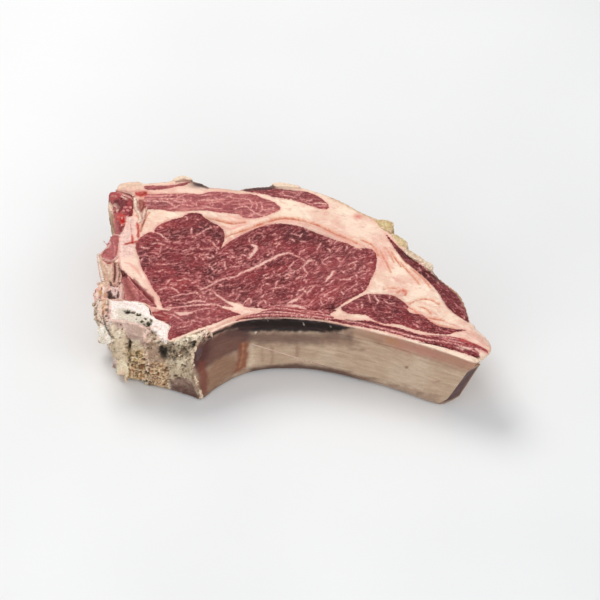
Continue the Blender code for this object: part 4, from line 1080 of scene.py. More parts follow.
def slab_piece(name, own, low, floor_z, mat, seam_inset=0.12):
    """One closed piece: its part of the upper face, its part of a lower one, and the sides between."""
    flat2, faces2, owner2, f2 = low
    tf, lf = top_faces[top_owner == own], faces2[owner2 == own]
    t_ids, tl = np.unique(tf, return_inverse=True)
    l_ids, ll = np.unique(lf, return_inverse=True)
    tl, ll = tl.reshape(tf.shape), ll.reshape(lf.shape)
    back = {int(i): k for k, i in enumerate(l_ids)}
    n_top, n_low = len(t_ids), len(l_ids)
    low_xy = flat2[l_ids]
    verts = [
        np.column_stack([top_flat[t_ids], top_z[t_ids]]),
        np.column_stack([low_xy[:, 0] + lean_x(low_xy[:, 0], floor_z), low_xy[:, 1], np.full(n_low, floor_z)]),
    ]
    attrs = {k: [top_f[k][t_ids], f2[k][l_ids]] for k in FIELD_KEYS}
    side, front_wall = [np.zeros(n_top), np.zeros(n_low)], [np.zeros(n_top), np.zeros(n_low)]
    faces = [tl, ll[:, ::-1] + n_top]
    rgbs, covers = [TOP_PAINT.rgb[t_ids], np.full((n_low, 3), 0.4)], [TOP_PAINT.cover[t_ids], np.zeros(n_low)]
    count = n_top + n_low
    for ring in boundary_loops(tl):
        ring = np.array(ring)
        ids = t_ids[ring]
        if (ids >= len(KIND)).all():
            kind = np.full(len(ids), 3)
        else:
            kind = np.where(ids < len(KIND), KIND[np.minimum(ids, len(KIND) - 1)], 3)
        for i in ids.tolist():
            if i not in back:
                spot = flat2[i] if i < SHARED else top_flat[i]
                back[i] = int(np.argmin(np.hypot(low_xy[:, 0] - spot[0], low_xy[:, 1] - spot[1])))
        xy, xy_low = top_flat[ids], low_xy[[back[i] for i in ids.tolist()]]
        along = np.roll(xy, -1, axis=0) - np.roll(xy, 1, axis=0)
        normal = np.stack([along[:, 1], -along[:, 0]], axis=1)
        normal /= np.maximum(np.linalg.norm(normal, axis=1), 1e-9)[:, None]
        rim = np.where(kind == 0, RIM[np.minimum(ids, len(RIM) - 1)], 0.0)
        tz = top_z[ids]
        if rim.max() > 0 or (kind == 1).sum() > 4:
            rows = int((THICK - floor_z) / WALL)
            levels = [1 - (k + 1) / (rows + 1) for k in range(rows)]
        else:
            levels = [0.985, 0.5, 0.015]
        chain = [ring]
        for lv in levels:
            z = floor_z + (tz - floor_z) * lv
            go = np.where(kind == 2, 1 - ramp(z, 44.8, 46.2), np.where(kind == 0, 1 - z / THICK, 1 - ramp(z, 38, 47)))
            here = xy + (xy_low - xy) * go[:, None]
            if own == len(NAMES):
                here = np.where((kind == 1)[:, None], xy + rib_shift(xy[:, 0], z), here)
                grow = (kind == 1) * (0.45 * noise3(np.column_stack([xy, z]) * (0.16, 0.16, 0.45), 61) + 0.12 * noise3(np.column_stack([xy, z]) * 0.8, 62))
            else:
                grow = 0.0
            push = wall_push(xy, z) * rim * (1 - 0.6 * ramp(to_u(xy[:, 0]), 470, 484)) - seam_inset * (rim <= 0) * (kind != 1) + grow
            moved = here + normal * np.reshape(push, (-1, 1))
            leaning = lean_x(xy[:, 0], z) * (kind != 1) if own == len(NAMES) else lean_x(xy[:, 0], z)
            verts.append(np.column_stack([moved[:, 0] + leaning, moved[:, 1], z]))
            for k in FIELD_KEYS:
                attrs[k].append(top_f[k][ids])
            side.append(np.clip(rim * min(1.0, (1 - lv) * 14), 0, 1))
            front_wall.append((kind == 1).astype(float))
            # the top face's paint carried down the sides, darker towards the floor
            rgbs.append(TOP_PAINT.rgb[ids] * (0.5 + 0.5 * z / THICK)[:, None])
            covers.append(TOP_PAINT.cover[ids] * 0.85)
            chain.append(count + np.arange(len(ring)))
            count += len(ring)
        chain.append(n_top + np.array([back[int(i)] for i in ids]))
        for a, b in zip(chain[:-1], chain[1:]):
            a2, b2 = np.roll(a, -1), np.roll(b, -1)
            faces.append(np.column_stack([a, b, b2]))
            faces.append(np.column_stack([a, b2, a2]))
    faces = np.vstack(faces)
    xyz = np.vstack(verts)
    data = {k: np.concatenate(v) for k, v in attrs.items()}
    data["side"] = np.concatenate(side)
    wall = np.concatenate(front_wall)
    if own == len(NAMES):
        wall[n_top : n_top + n_low] = 1.0
    rgb, cover = np.vstack(rgbs), np.concatenate(covers)
    if own == len(NAMES):
        face = front_paint(xyz)[:, :3]
        rgb = rgb * (1 - wall[:, None]) + face * wall[:, None]
        cover = np.maximum(cover, wall)
    data["paint"] = np.column_stack([rgb, np.ones(len(xyz))])
    data["painted"] = cover
    data["calm"] = wall
    data["tint"] = spots(xyz[:, :2], TINT_SPOTS)
    obj = make(name, xyz, faces, data, mat)
    print(name, len(faces), "triangles")
    return obj


def rib_coats(p):
    """The rib's outer face and the dried skin above it."""
    u, v = p.uv[:, 0], p.uv[:, 1]
    top = np.interp(u, [212.4, 227, 250, 290, 330, 370, 410, 450, 472], [331, 324.3, 318, 316.8, 321.2, 329.5, 340, 352.5, 360.5])
    low = np.interp(u, [204.6, 219.5, 249, 290, 330, 368.5, 402, 428.5, 440.5], [401, 388.5, 374, 369.8, 374.2, 383.5, 393.5, 402.5, 404.3])
    d = v - top
    rib_long = np.array([0.035, 0.05, 0.55])
    # broad bands
    p.coat(ramp(d + p.ragged(0.12, 1.5), 8.5, 13.0) * ramp(u, 236, 262), (186, 160, 136))
    p.speckle(1.0, -0.2, 0.6, (204, 180, 156), 0.6, rib_long, 1)
    p.speckle(0.035, 0.0, 0.4, (212, 190, 168), 0.5, seed=8)
    p.speckle(1.0, 0.0, 0.7, (172, 142, 118), 0.45, rib_long * 1.3, 2)
    # brown pink band under the upper edge, right half
    p.coat(ramp(u, 325, 385) * ramp(d + p.ragged(0.12, 2.0), 16.0, 6.0), (172, 130, 108))
    p.speckle(1.0, 0.0, 0.6, (194, 162, 136), 0.4, rib_long, 3)
    p.area([(396, 341), (412, 343), (432, 350), (446, 357), (440, 360), (424, 356), (406, 352), (394, 348)], (182, 122, 108), 0.6, 5.0, 2.4, 0.12)
    p.area([(440, 351), (462, 357), (471, 361), (466, 370), (452, 367), (440, 361)], (176, 130, 108), 0.6, 5.0, 2.4, 0.12)
    p.area([(384, 334), (396, 338), (398, 346), (386, 343)], (178, 126, 90), 0.6, 3.0, 1.6)
    p.line([(345, 331), (365, 335.5), (380, 341)], [4, 5], (150, 118, 96), 0.6, 1.4, 1.0)
    # tan band below the dark skin
    p.area([(238, 331), (262, 331), (290, 331.5), (320, 332), (350, 333), (352, 341), (330, 343), (290, 343.5), (262, 343.5), (240, 345)], (114, 86, 74), 0.9, 4.6, 2.6, 0.12)
    p.area([(318, 336), (345, 337), (362, 342), (352, 347), (322, 343)], (136, 106, 86), 0.6, 4.0, 2.4)
    # left part
    p.area([(190, 362), (194, 350), (203, 341), (214, 333), (230, 328), (247, 328), (247, 341), (238, 352), (226, 358), (212, 364), (200, 372)], (104, 66, 57), 0.95, 4.4, 2.6, 0.14)
    p.area([(192, 358), (200, 346), (208, 340), (211, 346), (208, 356), (203, 366), (196, 366)], (78, 40, 36), 0.9, 3.4, 2.0, 0.2)
    p.area([(214, 346), (230, 336), (244, 336), (238, 348), (222, 356), (212, 360)], (132, 96, 82), 0.5, 4.0, 2.4, 0.14)
    p.area([(206, 372), (214, 362), (224, 357), (236, 354), (238, 368), (228, 379), (216, 388), (208, 394)], (158, 120, 92), 0.85, 3.6, 2.0, 0.14)
    p.area([(199, 360), (206, 362), (209, 376), (208, 392), (203, 398), (200, 388), (199, 374)], (134, 68, 50), 0.85, 2.4, 1.4, 0.2)
    p.area([(240, 343), (249, 342), (248.5, 354), (246, 366), (240, 372), (233, 373), (237, 360)], (138, 78, 54), 0.92, 2.8, 1.6, 0.16)
    p.line([(243.6, 343), (243, 354), (240, 366)], [1.2, 1.6], (196, 148, 108), 0.55, 1.2, 1.0)
    p.line([(252, 344), (252.6, 356), (250, 370)], [3.0, 4.0], (214, 194, 168), 0.6, 2.4, 1.4)
    p.line([(262, 346), (262.4, 360)], [2.0, 2.6], (160, 128, 104), 0.5, 2.0, 1.2)
    p.line([(272, 345), (272.6, 358), (271, 366)], [1.2, 2.0], (150, 116, 92), 0.45, 1.6, 1.2)
    p.line([(296, 344), (297, 356)], [1.2, 2.4], (150, 114, 90), 0.45, 2.0, 1.4)
    # lower edge
    p.coat(ramp(v - low + p.ragged(0.14, 1.2), -9.0, -4.5) * ramp(u, 238, 256) * ramp(-u, -400, -340) * 0.95, (94, 68, 58))
    p.coat(ramp(v - low + p.ragged(0.12, 2.4), -3.0, -1.0) * 0.35, (96, 70, 58))
    p.coat(ramp(v - low + p.ragged(0.10, 3.0), -9.0, -3.0) * ramp(-u, -250, -236) * 0.6, (128, 100, 78))
    p.area([(388, 383), (406, 385), (424, 392), (440, 396), (432, 403), (414, 397), (392, 390)], (150, 122, 104), 0.55, 2.5, 2.6, 0.3)
    for cu, cv, ru, rv, s in ((406, 367, 1.8, 1.1, 0.8), (419, 393, 4, 1.6, 0.5), (394, 385, 5, 1.4, 0.45), (437, 381, 3, 1.2, 0.35), (368, 378, 8, 1.2, 0.35), (345, 371.5, 8, 1.4, 0.4), (272, 350, 2, 4, 0.25), (298, 348, 2, 5, 0.25), (353, 349, 6, 1.6, 0.3), (362, 349.5, 4, 1.2, 0.45)):
        p.spot(cu, cv, ru, rv, (128, 96, 78), s)
    # the dark dried skin, with painted reflections on it: sheen lines across it and a highlight line along its left
    # edge
    p.area([(203, 343), (207, 336.5), (214, 331), (222, 326.4), (232, 322), (243, 318.4), (262, 316.6), (290, 316.4), (318, 319), (338, 321.8), (352, 325), (356, 327.4), (346, 329.6), (336, 331.6), (318, 332), (290, 331.4), (262, 331), (246, 331.6), (236, 329.6), (226, 330.4), (216, 335), (208, 341.6)], (20, 5, 6), 0.99, 1.6, 1.0, 0.25)
    # painted sheen lines: reflections on the wet dark skin
    p.line([(236, 322.6), (262, 319.6), (290, 319.6), (320, 322), (344, 326)], [0.9, 1.1], (92, 76, 74), 0.55, 0.8, 0.7, 0.2)
    p.line([(230, 328.4), (256, 327), (290, 327.4), (326, 329.4)], [0.8, 1.6], (70, 50, 48), 0.5, 1.2, 0.9, 0.2)
    # painted highlight line along the skin's left edge
    p.line([(204, 343), (211, 337.6), (219, 333.4), (228, 330), (238, 328)], [1.0, 1.0], (160, 128, 112), 0.7, 0.7, 0.5)
    p.area([(226, 328), (240, 326), (252, 328), (252, 337), (240, 338), (228, 336)], (74, 50, 47), 0.6, 5.0, 2.4, 0.14)
    for cu, cv, ru, rv, s in ((256, 332.4, 1.3, 1.1, 1.0), (268, 321, 0.9, 0.6, 0.5), (303.6, 324, 1.1, 0.8, 0.5), (300, 332, 1.2, 0.7, 0.4), (330, 327, 1.3, 0.6, 0.35)):
        p.spot(cu, cv, ru, rv, (206, 192, 178), 0.9 * s, 0.55, 0.9)
        # cream line along the upper edge, and the pale ridge against the chine
    p.coat(ramp(d + p.ragged(0.25, 0.5), 2.2, 0.9) * ramp(u, 338, 350), (228, 204, 174))
    p.coat(ramp(np.abs(d - 0.4) + p.ragged(0.3, 0.5), 1.3, 0.4) * ramp(-u, -350, -330) * ramp(u, 238, 262) * 0.65, (150, 122, 112))
    p.area([(206, 334), (214, 329), (226, 324), (240, 318), (250, 316), (250, 318.6), (240, 321.2), (226, 327), (214, 332.6), (206, 338)], (214, 160, 140), 0.9, 1.0, 0.6)
    p.line([(212, 331), (204, 338), (197, 345), (192, 354)], [2.0, 2.2], (196, 158, 140), 0.8, 1.0, 0.5)
    return p


def front_paint(xyz):
    return np.column_stack([rib_coats(Paint(xyz, (188, 160, 136))).rgb, np.ones(len(xyz))])


# ---- node graph helper -----------------------------------------------------------------------
class Graph:
    def __init__(self, name):
        self.mat = bpy.data.materials.new(name)
        self.mat.use_nodes = True
        self.tree = self.mat.node_tree
        self.shader = self.tree.nodes["Principled BSDF"]
        self.coords = None

    def node(self, kind, **settings):
        n = self.tree.nodes.new(kind)
        for k, v in settings.items():
            setattr(n, k, v)
        return n

    def put(self, socket, value):
        if isinstance(value, bpy.types.NodeSocket):
            self.tree.links.new(value, socket)
        elif isinstance(value, (tuple, list)) and len(value) == 3 and socket.type == "RGBA":
            socket.default_value = (*value, 1.0)
        else:
            socket.default_value = value

    def math(self, op, a, b=None, c=None, clamp=False):
        n = self.node("ShaderNodeMath", operation=op, use_clamp=clamp)
        for i, x in enumerate((a, b, c)):
            if x is not None:
                self.put(n.inputs[i], x)
        return n.outputs[0]

    def add(self, a, b):
        return self.math("ADD", a, b)

    def mul(self, a, b):
        return self.math("MULTIPLY", a, b)

    def map(self, x, a, b, lo=0.0, hi=1.0, kind="SMOOTHSTEP"):
        n = self.node("ShaderNodeMapRange", interpolation_type=kind)
        self.put(n.inputs["Value"], x)
        for key, v in (("From Min", a), ("From Max", b), ("To Min", lo), ("To Max", hi)):
            self.put(n.inputs[key], v)
        return n.outputs["Result"]

    def mix(self, f, a, b, blend="MIX"):
        n = self.node("ShaderNodeMix", data_type="RGBA", blend_type=blend)
        self.put(n.inputs[0], f)
        self.put(n.inputs[6], a)
        self.put(n.inputs[7], b)
        return n.outputs[2]

    def attr(self, name, kind="Fac"):
        return self.node("ShaderNodeAttribute", attribute_name=name).outputs[kind]

    def place(self, scale=(1, 1, 1), turn=None, shift=(0, 0, 0)):
        """Object coordinates in millimetres, scaled, and first turned about Z."""
        if self.coords is None:
            self.coords = self.node("ShaderNodeTexCoord").outputs["Object"]
        n = self.node("ShaderNodeMapping", vector_type="POINT" if turn is None else "TEXTURE")
        self.put(n.inputs["Vector"], self.coords)
        if turn is None:
            n.inputs["Location"].default_value = shift
            n.inputs["Scale"].default_value = tuple(1000.0 * s for s in scale)
        else:
            n.inputs["Location"].default_value = tuple(0.013 * s for s in shift)
            n.inputs["Rotation"].default_value = (0, 0, turn)
            n.inputs["Scale"].default_value = tuple(0.001 / s for s in scale)
        return n.outputs[0]

    def noise(self, vector, scale=1.0, detail=2.0, rough=0.5, distort=0.0, out="Fac"):
        n = self.node("ShaderNodeTexNoise")
        self.put(n.inputs["Vector"], vector)
        n.inputs["Scale"].default_value = scale
        n.inputs["Detail"].default_value = detail
        n.inputs["Roughness"].default_value = rough
        n.inputs["Distortion"].default_value = distort
        return n.outputs[out]

    def cells(self, vector, scale=1.0, out="Distance", feature="F1", random=1.0):
        n = self.node("ShaderNodeTexVoronoi", feature=feature)
        self.put(n.inputs["Vector"], vector)
        n.inputs["Scale"].default_value = scale
        n.inputs["Randomness"].default_value = random
        return n.outputs[out]

    def bump(self, height, distance, strength=1.0, normal=None):
        n = self.node("ShaderNodeBump")
        n.inputs["Strength"].default_value = strength
        n.inputs["Distance"].default_value = distance
        self.put(n.inputs["Height"], height)
        if normal is not None:
            self.put(n.inputs["Normal"], normal)
        return n.outputs[0]

    def finish(self, colour, rough, normal=None, **fixed):
        self.put(self.shader.inputs["Base Color"], colour)
        self.put(self.shader.inputs["Roughness"], rough)
        if normal is not None:
            self.put(self.shader.inputs["Normal"], normal)
        for k, v in fixed.items():
            self.shader.inputs[k.replace("_", " ")].default_value = v
        return self.mat


def srgb(r, g, b):
    def one(c):
        c /= 255
        return c / 12.92 if c <= 0.04045 else ((c + 0.055) / 1.055) ** 2.4

    return (one(r), one(g), one(b))


def meat_material(name, turn=0.35):
    g = Graph(name)
    lean, pale, crease = g.attr("lean"), g.attr("pale"), g.attr("crease")
    pink, line, dark, red = g.attr("pink"), g.attr("line"), g.attr("dark"), g.attr("red")
    cap, side, rim, tint = g.attr("cap"), g.attr("side"), g.attr("rim"), g.attr("tint")
    raw = g.place((1, 1, 0.35))
    # every border is ragged
    n_mid = g.math("SUBTRACT", g.noise(raw, 0.62, 3.0, 0.62), 0.5)
    n_fine = g.math("SUBTRACT", g.noise(raw, 1.7, 2.0, 0.6), 0.5)
    lean_here = g.map(g.add(g.add(lean, g.mul(n_mid, 2.2)), g.mul(n_fine, 1.0)), -0.18, 0.26)
    pale_edge = g.add(g.add(pale, g.mul(n_mid, 2.6)), g.mul(n_fine, 2.2))
    pale_here = g.map(pale_edge, 0.55, -0.35)
    pale_core = g.map(pale_edge, -0.05, -0.75)
    # marbling finer than the drawn strands, drawn out along the fibres
    f1 = g.map(g.noise(g.place((0.26, 0.62, 0.06), turn), 1.0, 2.0, 0.5, 0.5), 0.52, 0.63)
    f2 = g.map(g.noise(g.place((0.60, 1.15, 0.08), turn + 0.35, (3, 5, 0)), 1.0, 2.0, 0.5, 0.3), 0.53, 0.68)
    f3 = g.map(g.noise(g.place((1.25, 1.5, 0.1), turn - 0.6, (1, 8, 0)), 1.0, 2.0, 0.55), 0.53, 0.68)
    d1 = g.map(g.noise(g.place((0.42, 0.85, 0.06), turn, (7, 2, 0)), 1.0, 2.0, 0.5, 0.4), 0.48, 0.34)
    dots = g.map(g.cells(g.place((0.34, 0.44, 0.06)), 1.0), 0.07, 0.22, 1.0, 0.0)
    where = g.map(g.noise(g.place((0.11, 0.11, 0.05), shift=(4, 4, 0)), 1.0, 2.0, 0.5), 0.38, 0.60, 0.45, 1.0)
    web = g.cells(g.place((0.30, 0.52, 0.05), turn), 1.0, feature="DISTANCE_TO_EDGE")
    web = g.mul(g.map(web, 0.075, 0.01), g.map(g.noise(g.place((0.4, 0.4, 0.1), shift=(2, 9, 0)), 1.0, 2.0, 0.6), 0.50, 0.62))
    grain = g.noise(g.place((1, 1, 0.2)), 1.25, 3.0, 0.62)
    # lean
    body = g.mix(g.map(g.noise(g.place((0.06, 0.08, 0.02)), 1.0, 3.0, 0.55), 0.36, 0.64), LEAN_DEEP, LEAN_MID)
    patch = g.noise(g.place((0.045, 0.07, 0.03), turn, (3, 1, 0)), 1.0, 3.0, 0.6, 0.4)
    body = g.mix(g.mul(g.map(patch, 0.50, 0.66), 0.42), body, srgb(172, 64, 64))
    body = g.mix(g.mul(g.map(patch, 0.46, 0.34), 0.40), body, LEAN_DARK)
    body = g.mix(g.mul(f3, 0.38), body, LEAN_LIGHT)
    body = g.mix(g.mul(f2, g.mul(where, 0.62)), body, LEAN_LIGHT)
    body = g.mix(g.mul(d1, 0.56), body, LEAN_DARK)
    body = g.mix(g.mul(cap, 0.58), body, srgb(184, 102, 101))
    long = g.noise(g.place((0.07, 0.62, 0.05), 0.06, (2, 2, 0)), 1.0, 3.0, 0.55, 0.7)
    body = g.mix(g.mul(g.map(long, 0.50, 0.36), g.mul(cap, 0.75)), body, srgb(138, 62, 68))
    body = g.mix(g.mul(g.map(long, 0.54, 0.64), g.mul(cap, 0.75)), body, srgb(228, 156, 146))
    body = g.mix(g.mul(dark, 0.80), body, srgb(60, 20, 25))
    body = g.mix(g.math("MULTIPLY", red, 0.62, clamp=True), body, srgb(160, 24, 26))
    quiet = g.map(dark, 0.25, 1.1, 1.0, 0.25)
    f0 = g.map(g.noise(g.place((0.15, 0.36, 0.05), turn, (9, 4, 0)), 1.0, 4.0, 0.62, 0.9), 0.575, 0.67)
    body = g.mix(g.mul(f0, g.mul(quiet, 0.50)), body, srgb(212, 128, 126))
    body = g.mix(g.mul(f1, g.mul(g.mul(where, quiet), 0.62)), body, srgb(206, 124, 122))
    body = g.mix(g.mul(web, g.mul(quiet, 0.55)), body, srgb(212, 138, 130))
    body = g.mix(g.mul(dots, g.mul(quiet, 0.5)), body, srgb(220, 150, 142))
    strand = g.mix(g.map(n_fine, -0.2, 0.2), srgb(212, 132, 128), srgb(230, 160, 152))
    marbled = g.mix(g.mul(pale_here, 0.78), body, strand)
    halo = g.map(pale_edge, 1.3, 0.2)
    marbled = g.mix(g.mul(halo, 0.18), marbled, srgb(206, 120, 116))
    marbled = g.mix(g.mul(pale_core, 0.85), marbled, srgb(240, 196, 180))
    # fat
    f_low = g.noise(g.place((0.045, 0.06, 0.03)), 1.0, 3.0, 0.55)
    fat = g.mix(g.map(f_low, 0.36, 0.60), srgb(232, 190, 168), srgb(246, 222, 198))
    cream = g.map(g.noise(g.place((0.10, 0.16, 0.05), -0.3, (8, 8, 0)), 1.0, 3.0, 0.6, 0.6), 0.50, 0.64)
    fat = g.mix(g.mul(cream, 0.6), fat, srgb(252, 232, 210))
    fat = g.mix(g.mul(tint, 0.8), fat, srgb(236, 182, 168))
    fibre = g.noise(g.place((0.09, 0.62, 0.1), -0.3), 1.0, 4.0, 0.6, 0.8)
    fat = g.mix(g.mul(g.map(fibre, 0.52, 0.68), 0.34), fat, srgb(226, 168, 148))
    blush = g.map(g.noise(g.place((0.16, 0.30, 0.1), -0.3, (5, 1, 0)), 1.0, 4.0, 0.62, 0.6), 0.53, 0.70)
    fat = g.mix(g.mul(blush, 0.50), fat, srgb(226, 156, 140))
    glint = g.map(g.noise(raw, 0.9, 3.0, 0.6), 0.57, 0.70)
    fat = g.mix(g.mul(glint, 0.38), fat, srgb(252, 234, 214))
    near = g.map(g.add(lean, g.mul(n_mid, 2.0)), -2.4, -0.1)
    fat = g.mix(g.mul(near, 0.46), fat, srgb(232, 164, 150))
    fat = g.mix(g.mul(g.map(g.add(pink, g.mul(n_mid, 3.0)), 0.9, -0.9), 0.62), fat, srgb(226, 152, 138))
    fade = g.map(g.noise(g.place((0.10, 0.10, 0.02), shift=(6, 3, 0)), 1.0, 2.0, 0.5), 0.40, 0.54, 0.55, 1.0)
    soft = g.map(g.add(crease, g.mul(n_mid, 3.2)), 2.2, -0.5)
    fat = g.mix(g.mul(soft, g.mul(fade, 0.62)), fat, srgb(230, 158, 126))
    hard = g.map(g.add(crease, g.add(g.mul(n_mid, 2.2), g.mul(n_fine, 1.6))), 0.45, -0.70)
    fat = g.mix(g.mul(hard, g.mul(fade, 0.78)), fat, srgb(194, 98, 70))
    fat = g.mix(g.math("MULTIPLY", red, 0.8, clamp=True), fat, srgb(206, 76, 62))
    fat = g.mix(g.math("MULTIPLY", dark, 0.75, clamp=True), fat, srgb(80, 56, 52))
    colour = g.mix(lean_here, fat, marbled)
    # the dark lines: partly dark seams, partly painted shade in their grooves
    colour = g.mix(g.mul(g.map(g.add(line, g.mul(n_fine, 1.2)), 0.25, -0.35), 0.8), colour, srgb(56, 16, 20))
    # the thin dried rind at the free edge
    rind = g.map(g.add(rim, g.mul(n_mid, 2.4)), 1.3, 0.1)
    rind_tone = g.mix(g.map(g.noise(raw, 0.35, 3.0, 0.6), 0.4, 0.62), srgb(222, 184, 142), srgb(162, 122, 92))
    colour = g.mix(g.mul(rind, 0.55), colour, g.mix(g.mul(lean_here, 0.8), rind_tone, srgb(74, 40, 38)))
    # the dried outer side
    wide = g.noise(g.place((0.05, 0.05, 0.09)), 1.0, 4.0, 0.6)
    crust = g.mix(g.map(wide, 0.36, 0.66), srgb(216, 178, 138), srgb(158, 112, 80))
    crust = g.mix(g.mul(g.map(g.noise(g.place((0.10, 0.10, 0.30), shift=(2, 7, 1)), 1.0, 5.0, 0.68, 1.2), 0.52, 0.70), 0.6), crust, srgb(104, 64, 50))
    crust = g.mix(g.mul(g.map(g.noise(g.place((0.5, 0.5, 1.0)), 1.0, 5.0, 0.7, 0.8), 0.55, 0.70), 0.5), crust, srgb(84, 50, 42))
    crust = g.mix(g.mul(g.map(g.noise(g.place((0.22, 0.22, 0.5), shift=(5, 0, 3)), 1.0, 5.0, 0.68, 0.9), 0.52, 0.66), 0.7), crust, srgb(236, 204, 168))
    crust = g.mix(g.math("MULTIPLY", dark, 0.7, clamp=True), crust, srgb(66, 36, 34))
    meat_crust = g.mix(g.map(g.noise(g.place((0.25, 0.25, 0.5)), 1.0, 5.0, 0.65), 0.40, 0.65), srgb(46, 20, 22), srgb(96, 44, 42))
    crust = g.mix(g.map(g.add(lean, g.mul(n_mid, 4.0)), -0.6, 0.6), crust, meat_crust)
    colour = g.mix(side, colour, crust)
    face = g.node("ShaderNodeAttribute", attribute_name="paint")
    mottle = g.mix(g.map(g.noise(g.place((0.5, 0.5, 1.4)), 1.0, 4.0, 0.65), 0.3, 0.7), (0.72, 0.70, 0.68), (1.18, 1.18, 1.18))
    mottle = g.mix(g.map(g.noise(raw, 1.1, 3.0, 0.6), 0.35, 0.65), g.mix(1.0, mottle, (0.84, 0.82, 0.80), "MULTIPLY"), mottle)
    painted, calm = g.attr("painted"), g.attr("calm")
    mottle = g.mix(g.mul(calm, 0.85), mottle, (1.02, 1.02, 1.02))
    colour = g.mix(painted, colour, g.mix(1.0, face.outputs["Color"], mottle, "MULTIPLY"))
    # gloss and grain
    rough = g.map(grain, 0.3, 0.7, 0.34, 0.50)
    rough = g.math("ADD", rough, g.mul(side, 0.25))
    rough = g.math("ADD", rough, g.mul(lean_here, -0.02))
    h1 = g.mul(grain, g.mul(lean_here, 1.0))
    h2 = g.mul(g.add(f2, g.mul(d1, -0.8)), g.mul(lean_here, 0.5))
    h3 = g.mul(g.add(fibre, blush), g.math("SUBTRACT", 0.6, g.mul(lean_here, 0.5)))
    h4 = g.mul(g.noise(g.place((0.6, 0.6, 0.9)), 1.0, 6.0, 0.7), g.mul(side, 3.0))
    height = g.add(g.add(h1, h2), g.add(h3, g.add(h4, g.mul(f1, g.mul(lean_here, 0.35)))))
    normal = g.bump(height, 0.0004, 0.8)
    return g.finish(
        colour, rough, normal, Specular_IOR_Level=0.24, Subsurface_Weight=0.08, Subsurface_Scale=0.0010, IOR=1.40
    )


LEAN_DARK, LEAN_DEEP, LEAN_MID, LEAN_LIGHT = srgb(62, 8, 12), srgb(94, 24, 29), srgb(131, 41, 46), srgb(177, 75, 78)
MEAT = {
    "fat_body": (meat_material("vis_fat"), "fat"),
    "eye_longissimus": (meat_material("vis_eye", 0.55), "lean_meat"),
    "complexus": (meat_material("vis_complexus", 0.2), "lean_meat"),
    "multifidus": (meat_material("vis_multifidus", 0.3), "lean_meat"),
    "cap_trapezius": (meat_material("vis_cap", 0.0), "lean_meat"),
    "cap_latissimus": (meat_material("vis_latissimus", -0.2), "lean_meat"),
    "outer_flank": (meat_material("vis_flank", -0.7), "dried_meat"),
    "serratus": (meat_material("vis_serratus", -0.25), "lean_meat"),
    "chine_side_meat": (meat_material("vis_chine_side", -0.7), "lean_meat"),
    "neck_end_meat": (meat_material("vis_neck_end", 1.2), "lean_meat"),
    "intercostal_meat": (meat_material("vis_intercostal", -0.2), "dried_meat"),
}

# ---- meat pieces -----------------------------------------------------------------------------
LOWER_FACE = (low_flat, low_faces, low_owner, low_f)
for k, n in enumerate(NAMES):
    piece = slab_piece("meat_" + n, k, LOWER_FACE, 0.0, MEAT[n][0])
    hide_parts(n)
piece = slab_piece("meat_fat", -1, LOWER_FACE, 0.0, MEAT["fat_body"][0])
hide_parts("fat_body")
piece = slab_piece("meat_strip", len(NAMES), (mid_flat, mid_faces, mid_owner, mid_f), RIB_TOP + 0.2, MEAT["intercostal_meat"][0])
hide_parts("intercostal_meat")


# ---- the rib ---------------------------------------------------------------------------------
def bone_material(name, rough=0.5, wet=0.35, grain=1.0):
    g = Graph(name)
    paint = g.node("ShaderNodeAttribute", attribute_name="paint")
    pit = g.attr("pit")
    fine = g.noise(g.place((0.9, 0.9, 1.3)), 1.0, 5.0, 0.68)
    broad = g.noise(g.place((0.12, 0.12, 0.5)), 1.0, 4.0, 0.6)
    colour = g.mix(1.0, paint.outputs["Color"], g.mix(g.map(fine, 0.28, 0.72), tuple(1 - grain * c for c in (0.26, 0.29, 0.32)), (1 + 0.2 * grain,) * 3), "MULTIPLY")
    colour = g.mix(1.0, colour, g.mix(g.map(broad, 0.3, 0.7), (0.90, 0.87, 0.84), (1.08, 1.08, 1.08)), "MULTIPLY")
    specks = g.map(g.cells(g.place((0.55, 0.55, 0.8)), 1.0), 0.05, 0.16, 1.0, 0.0)
    colour = g.mix(g.mul(specks, 0.3 * grain), colour, srgb(96, 70, 54))
    # darker colour inside the bumped holes, as much as pit says: painted shade
    holes = g.map(g.noise(g.place((1.3, 1.3, 1.3), shift=(4, 1, 2)), 1.0, 3.0, 0.6), 0.56, 0.68)
    colour = g.mix(g.mul(holes, g.math("MULTIPLY", pit, 0.55, clamp=True)), colour, srgb(74, 56, 42))
    rough_out = g.map(fine, 0.3, 0.7, rough - 0.08, rough + 0.12)
    height = g.add(g.mul(fine, grain), g.mul(holes, g.mul(pit, -1.6)))
    normal = g.bump(height, 0.0004, 0.7)
    return g.finish(colour, rough_out, normal, Specular_IOR_Level=wet, Subsurface_Weight=0.08, Subsurface_Scale=0.001)


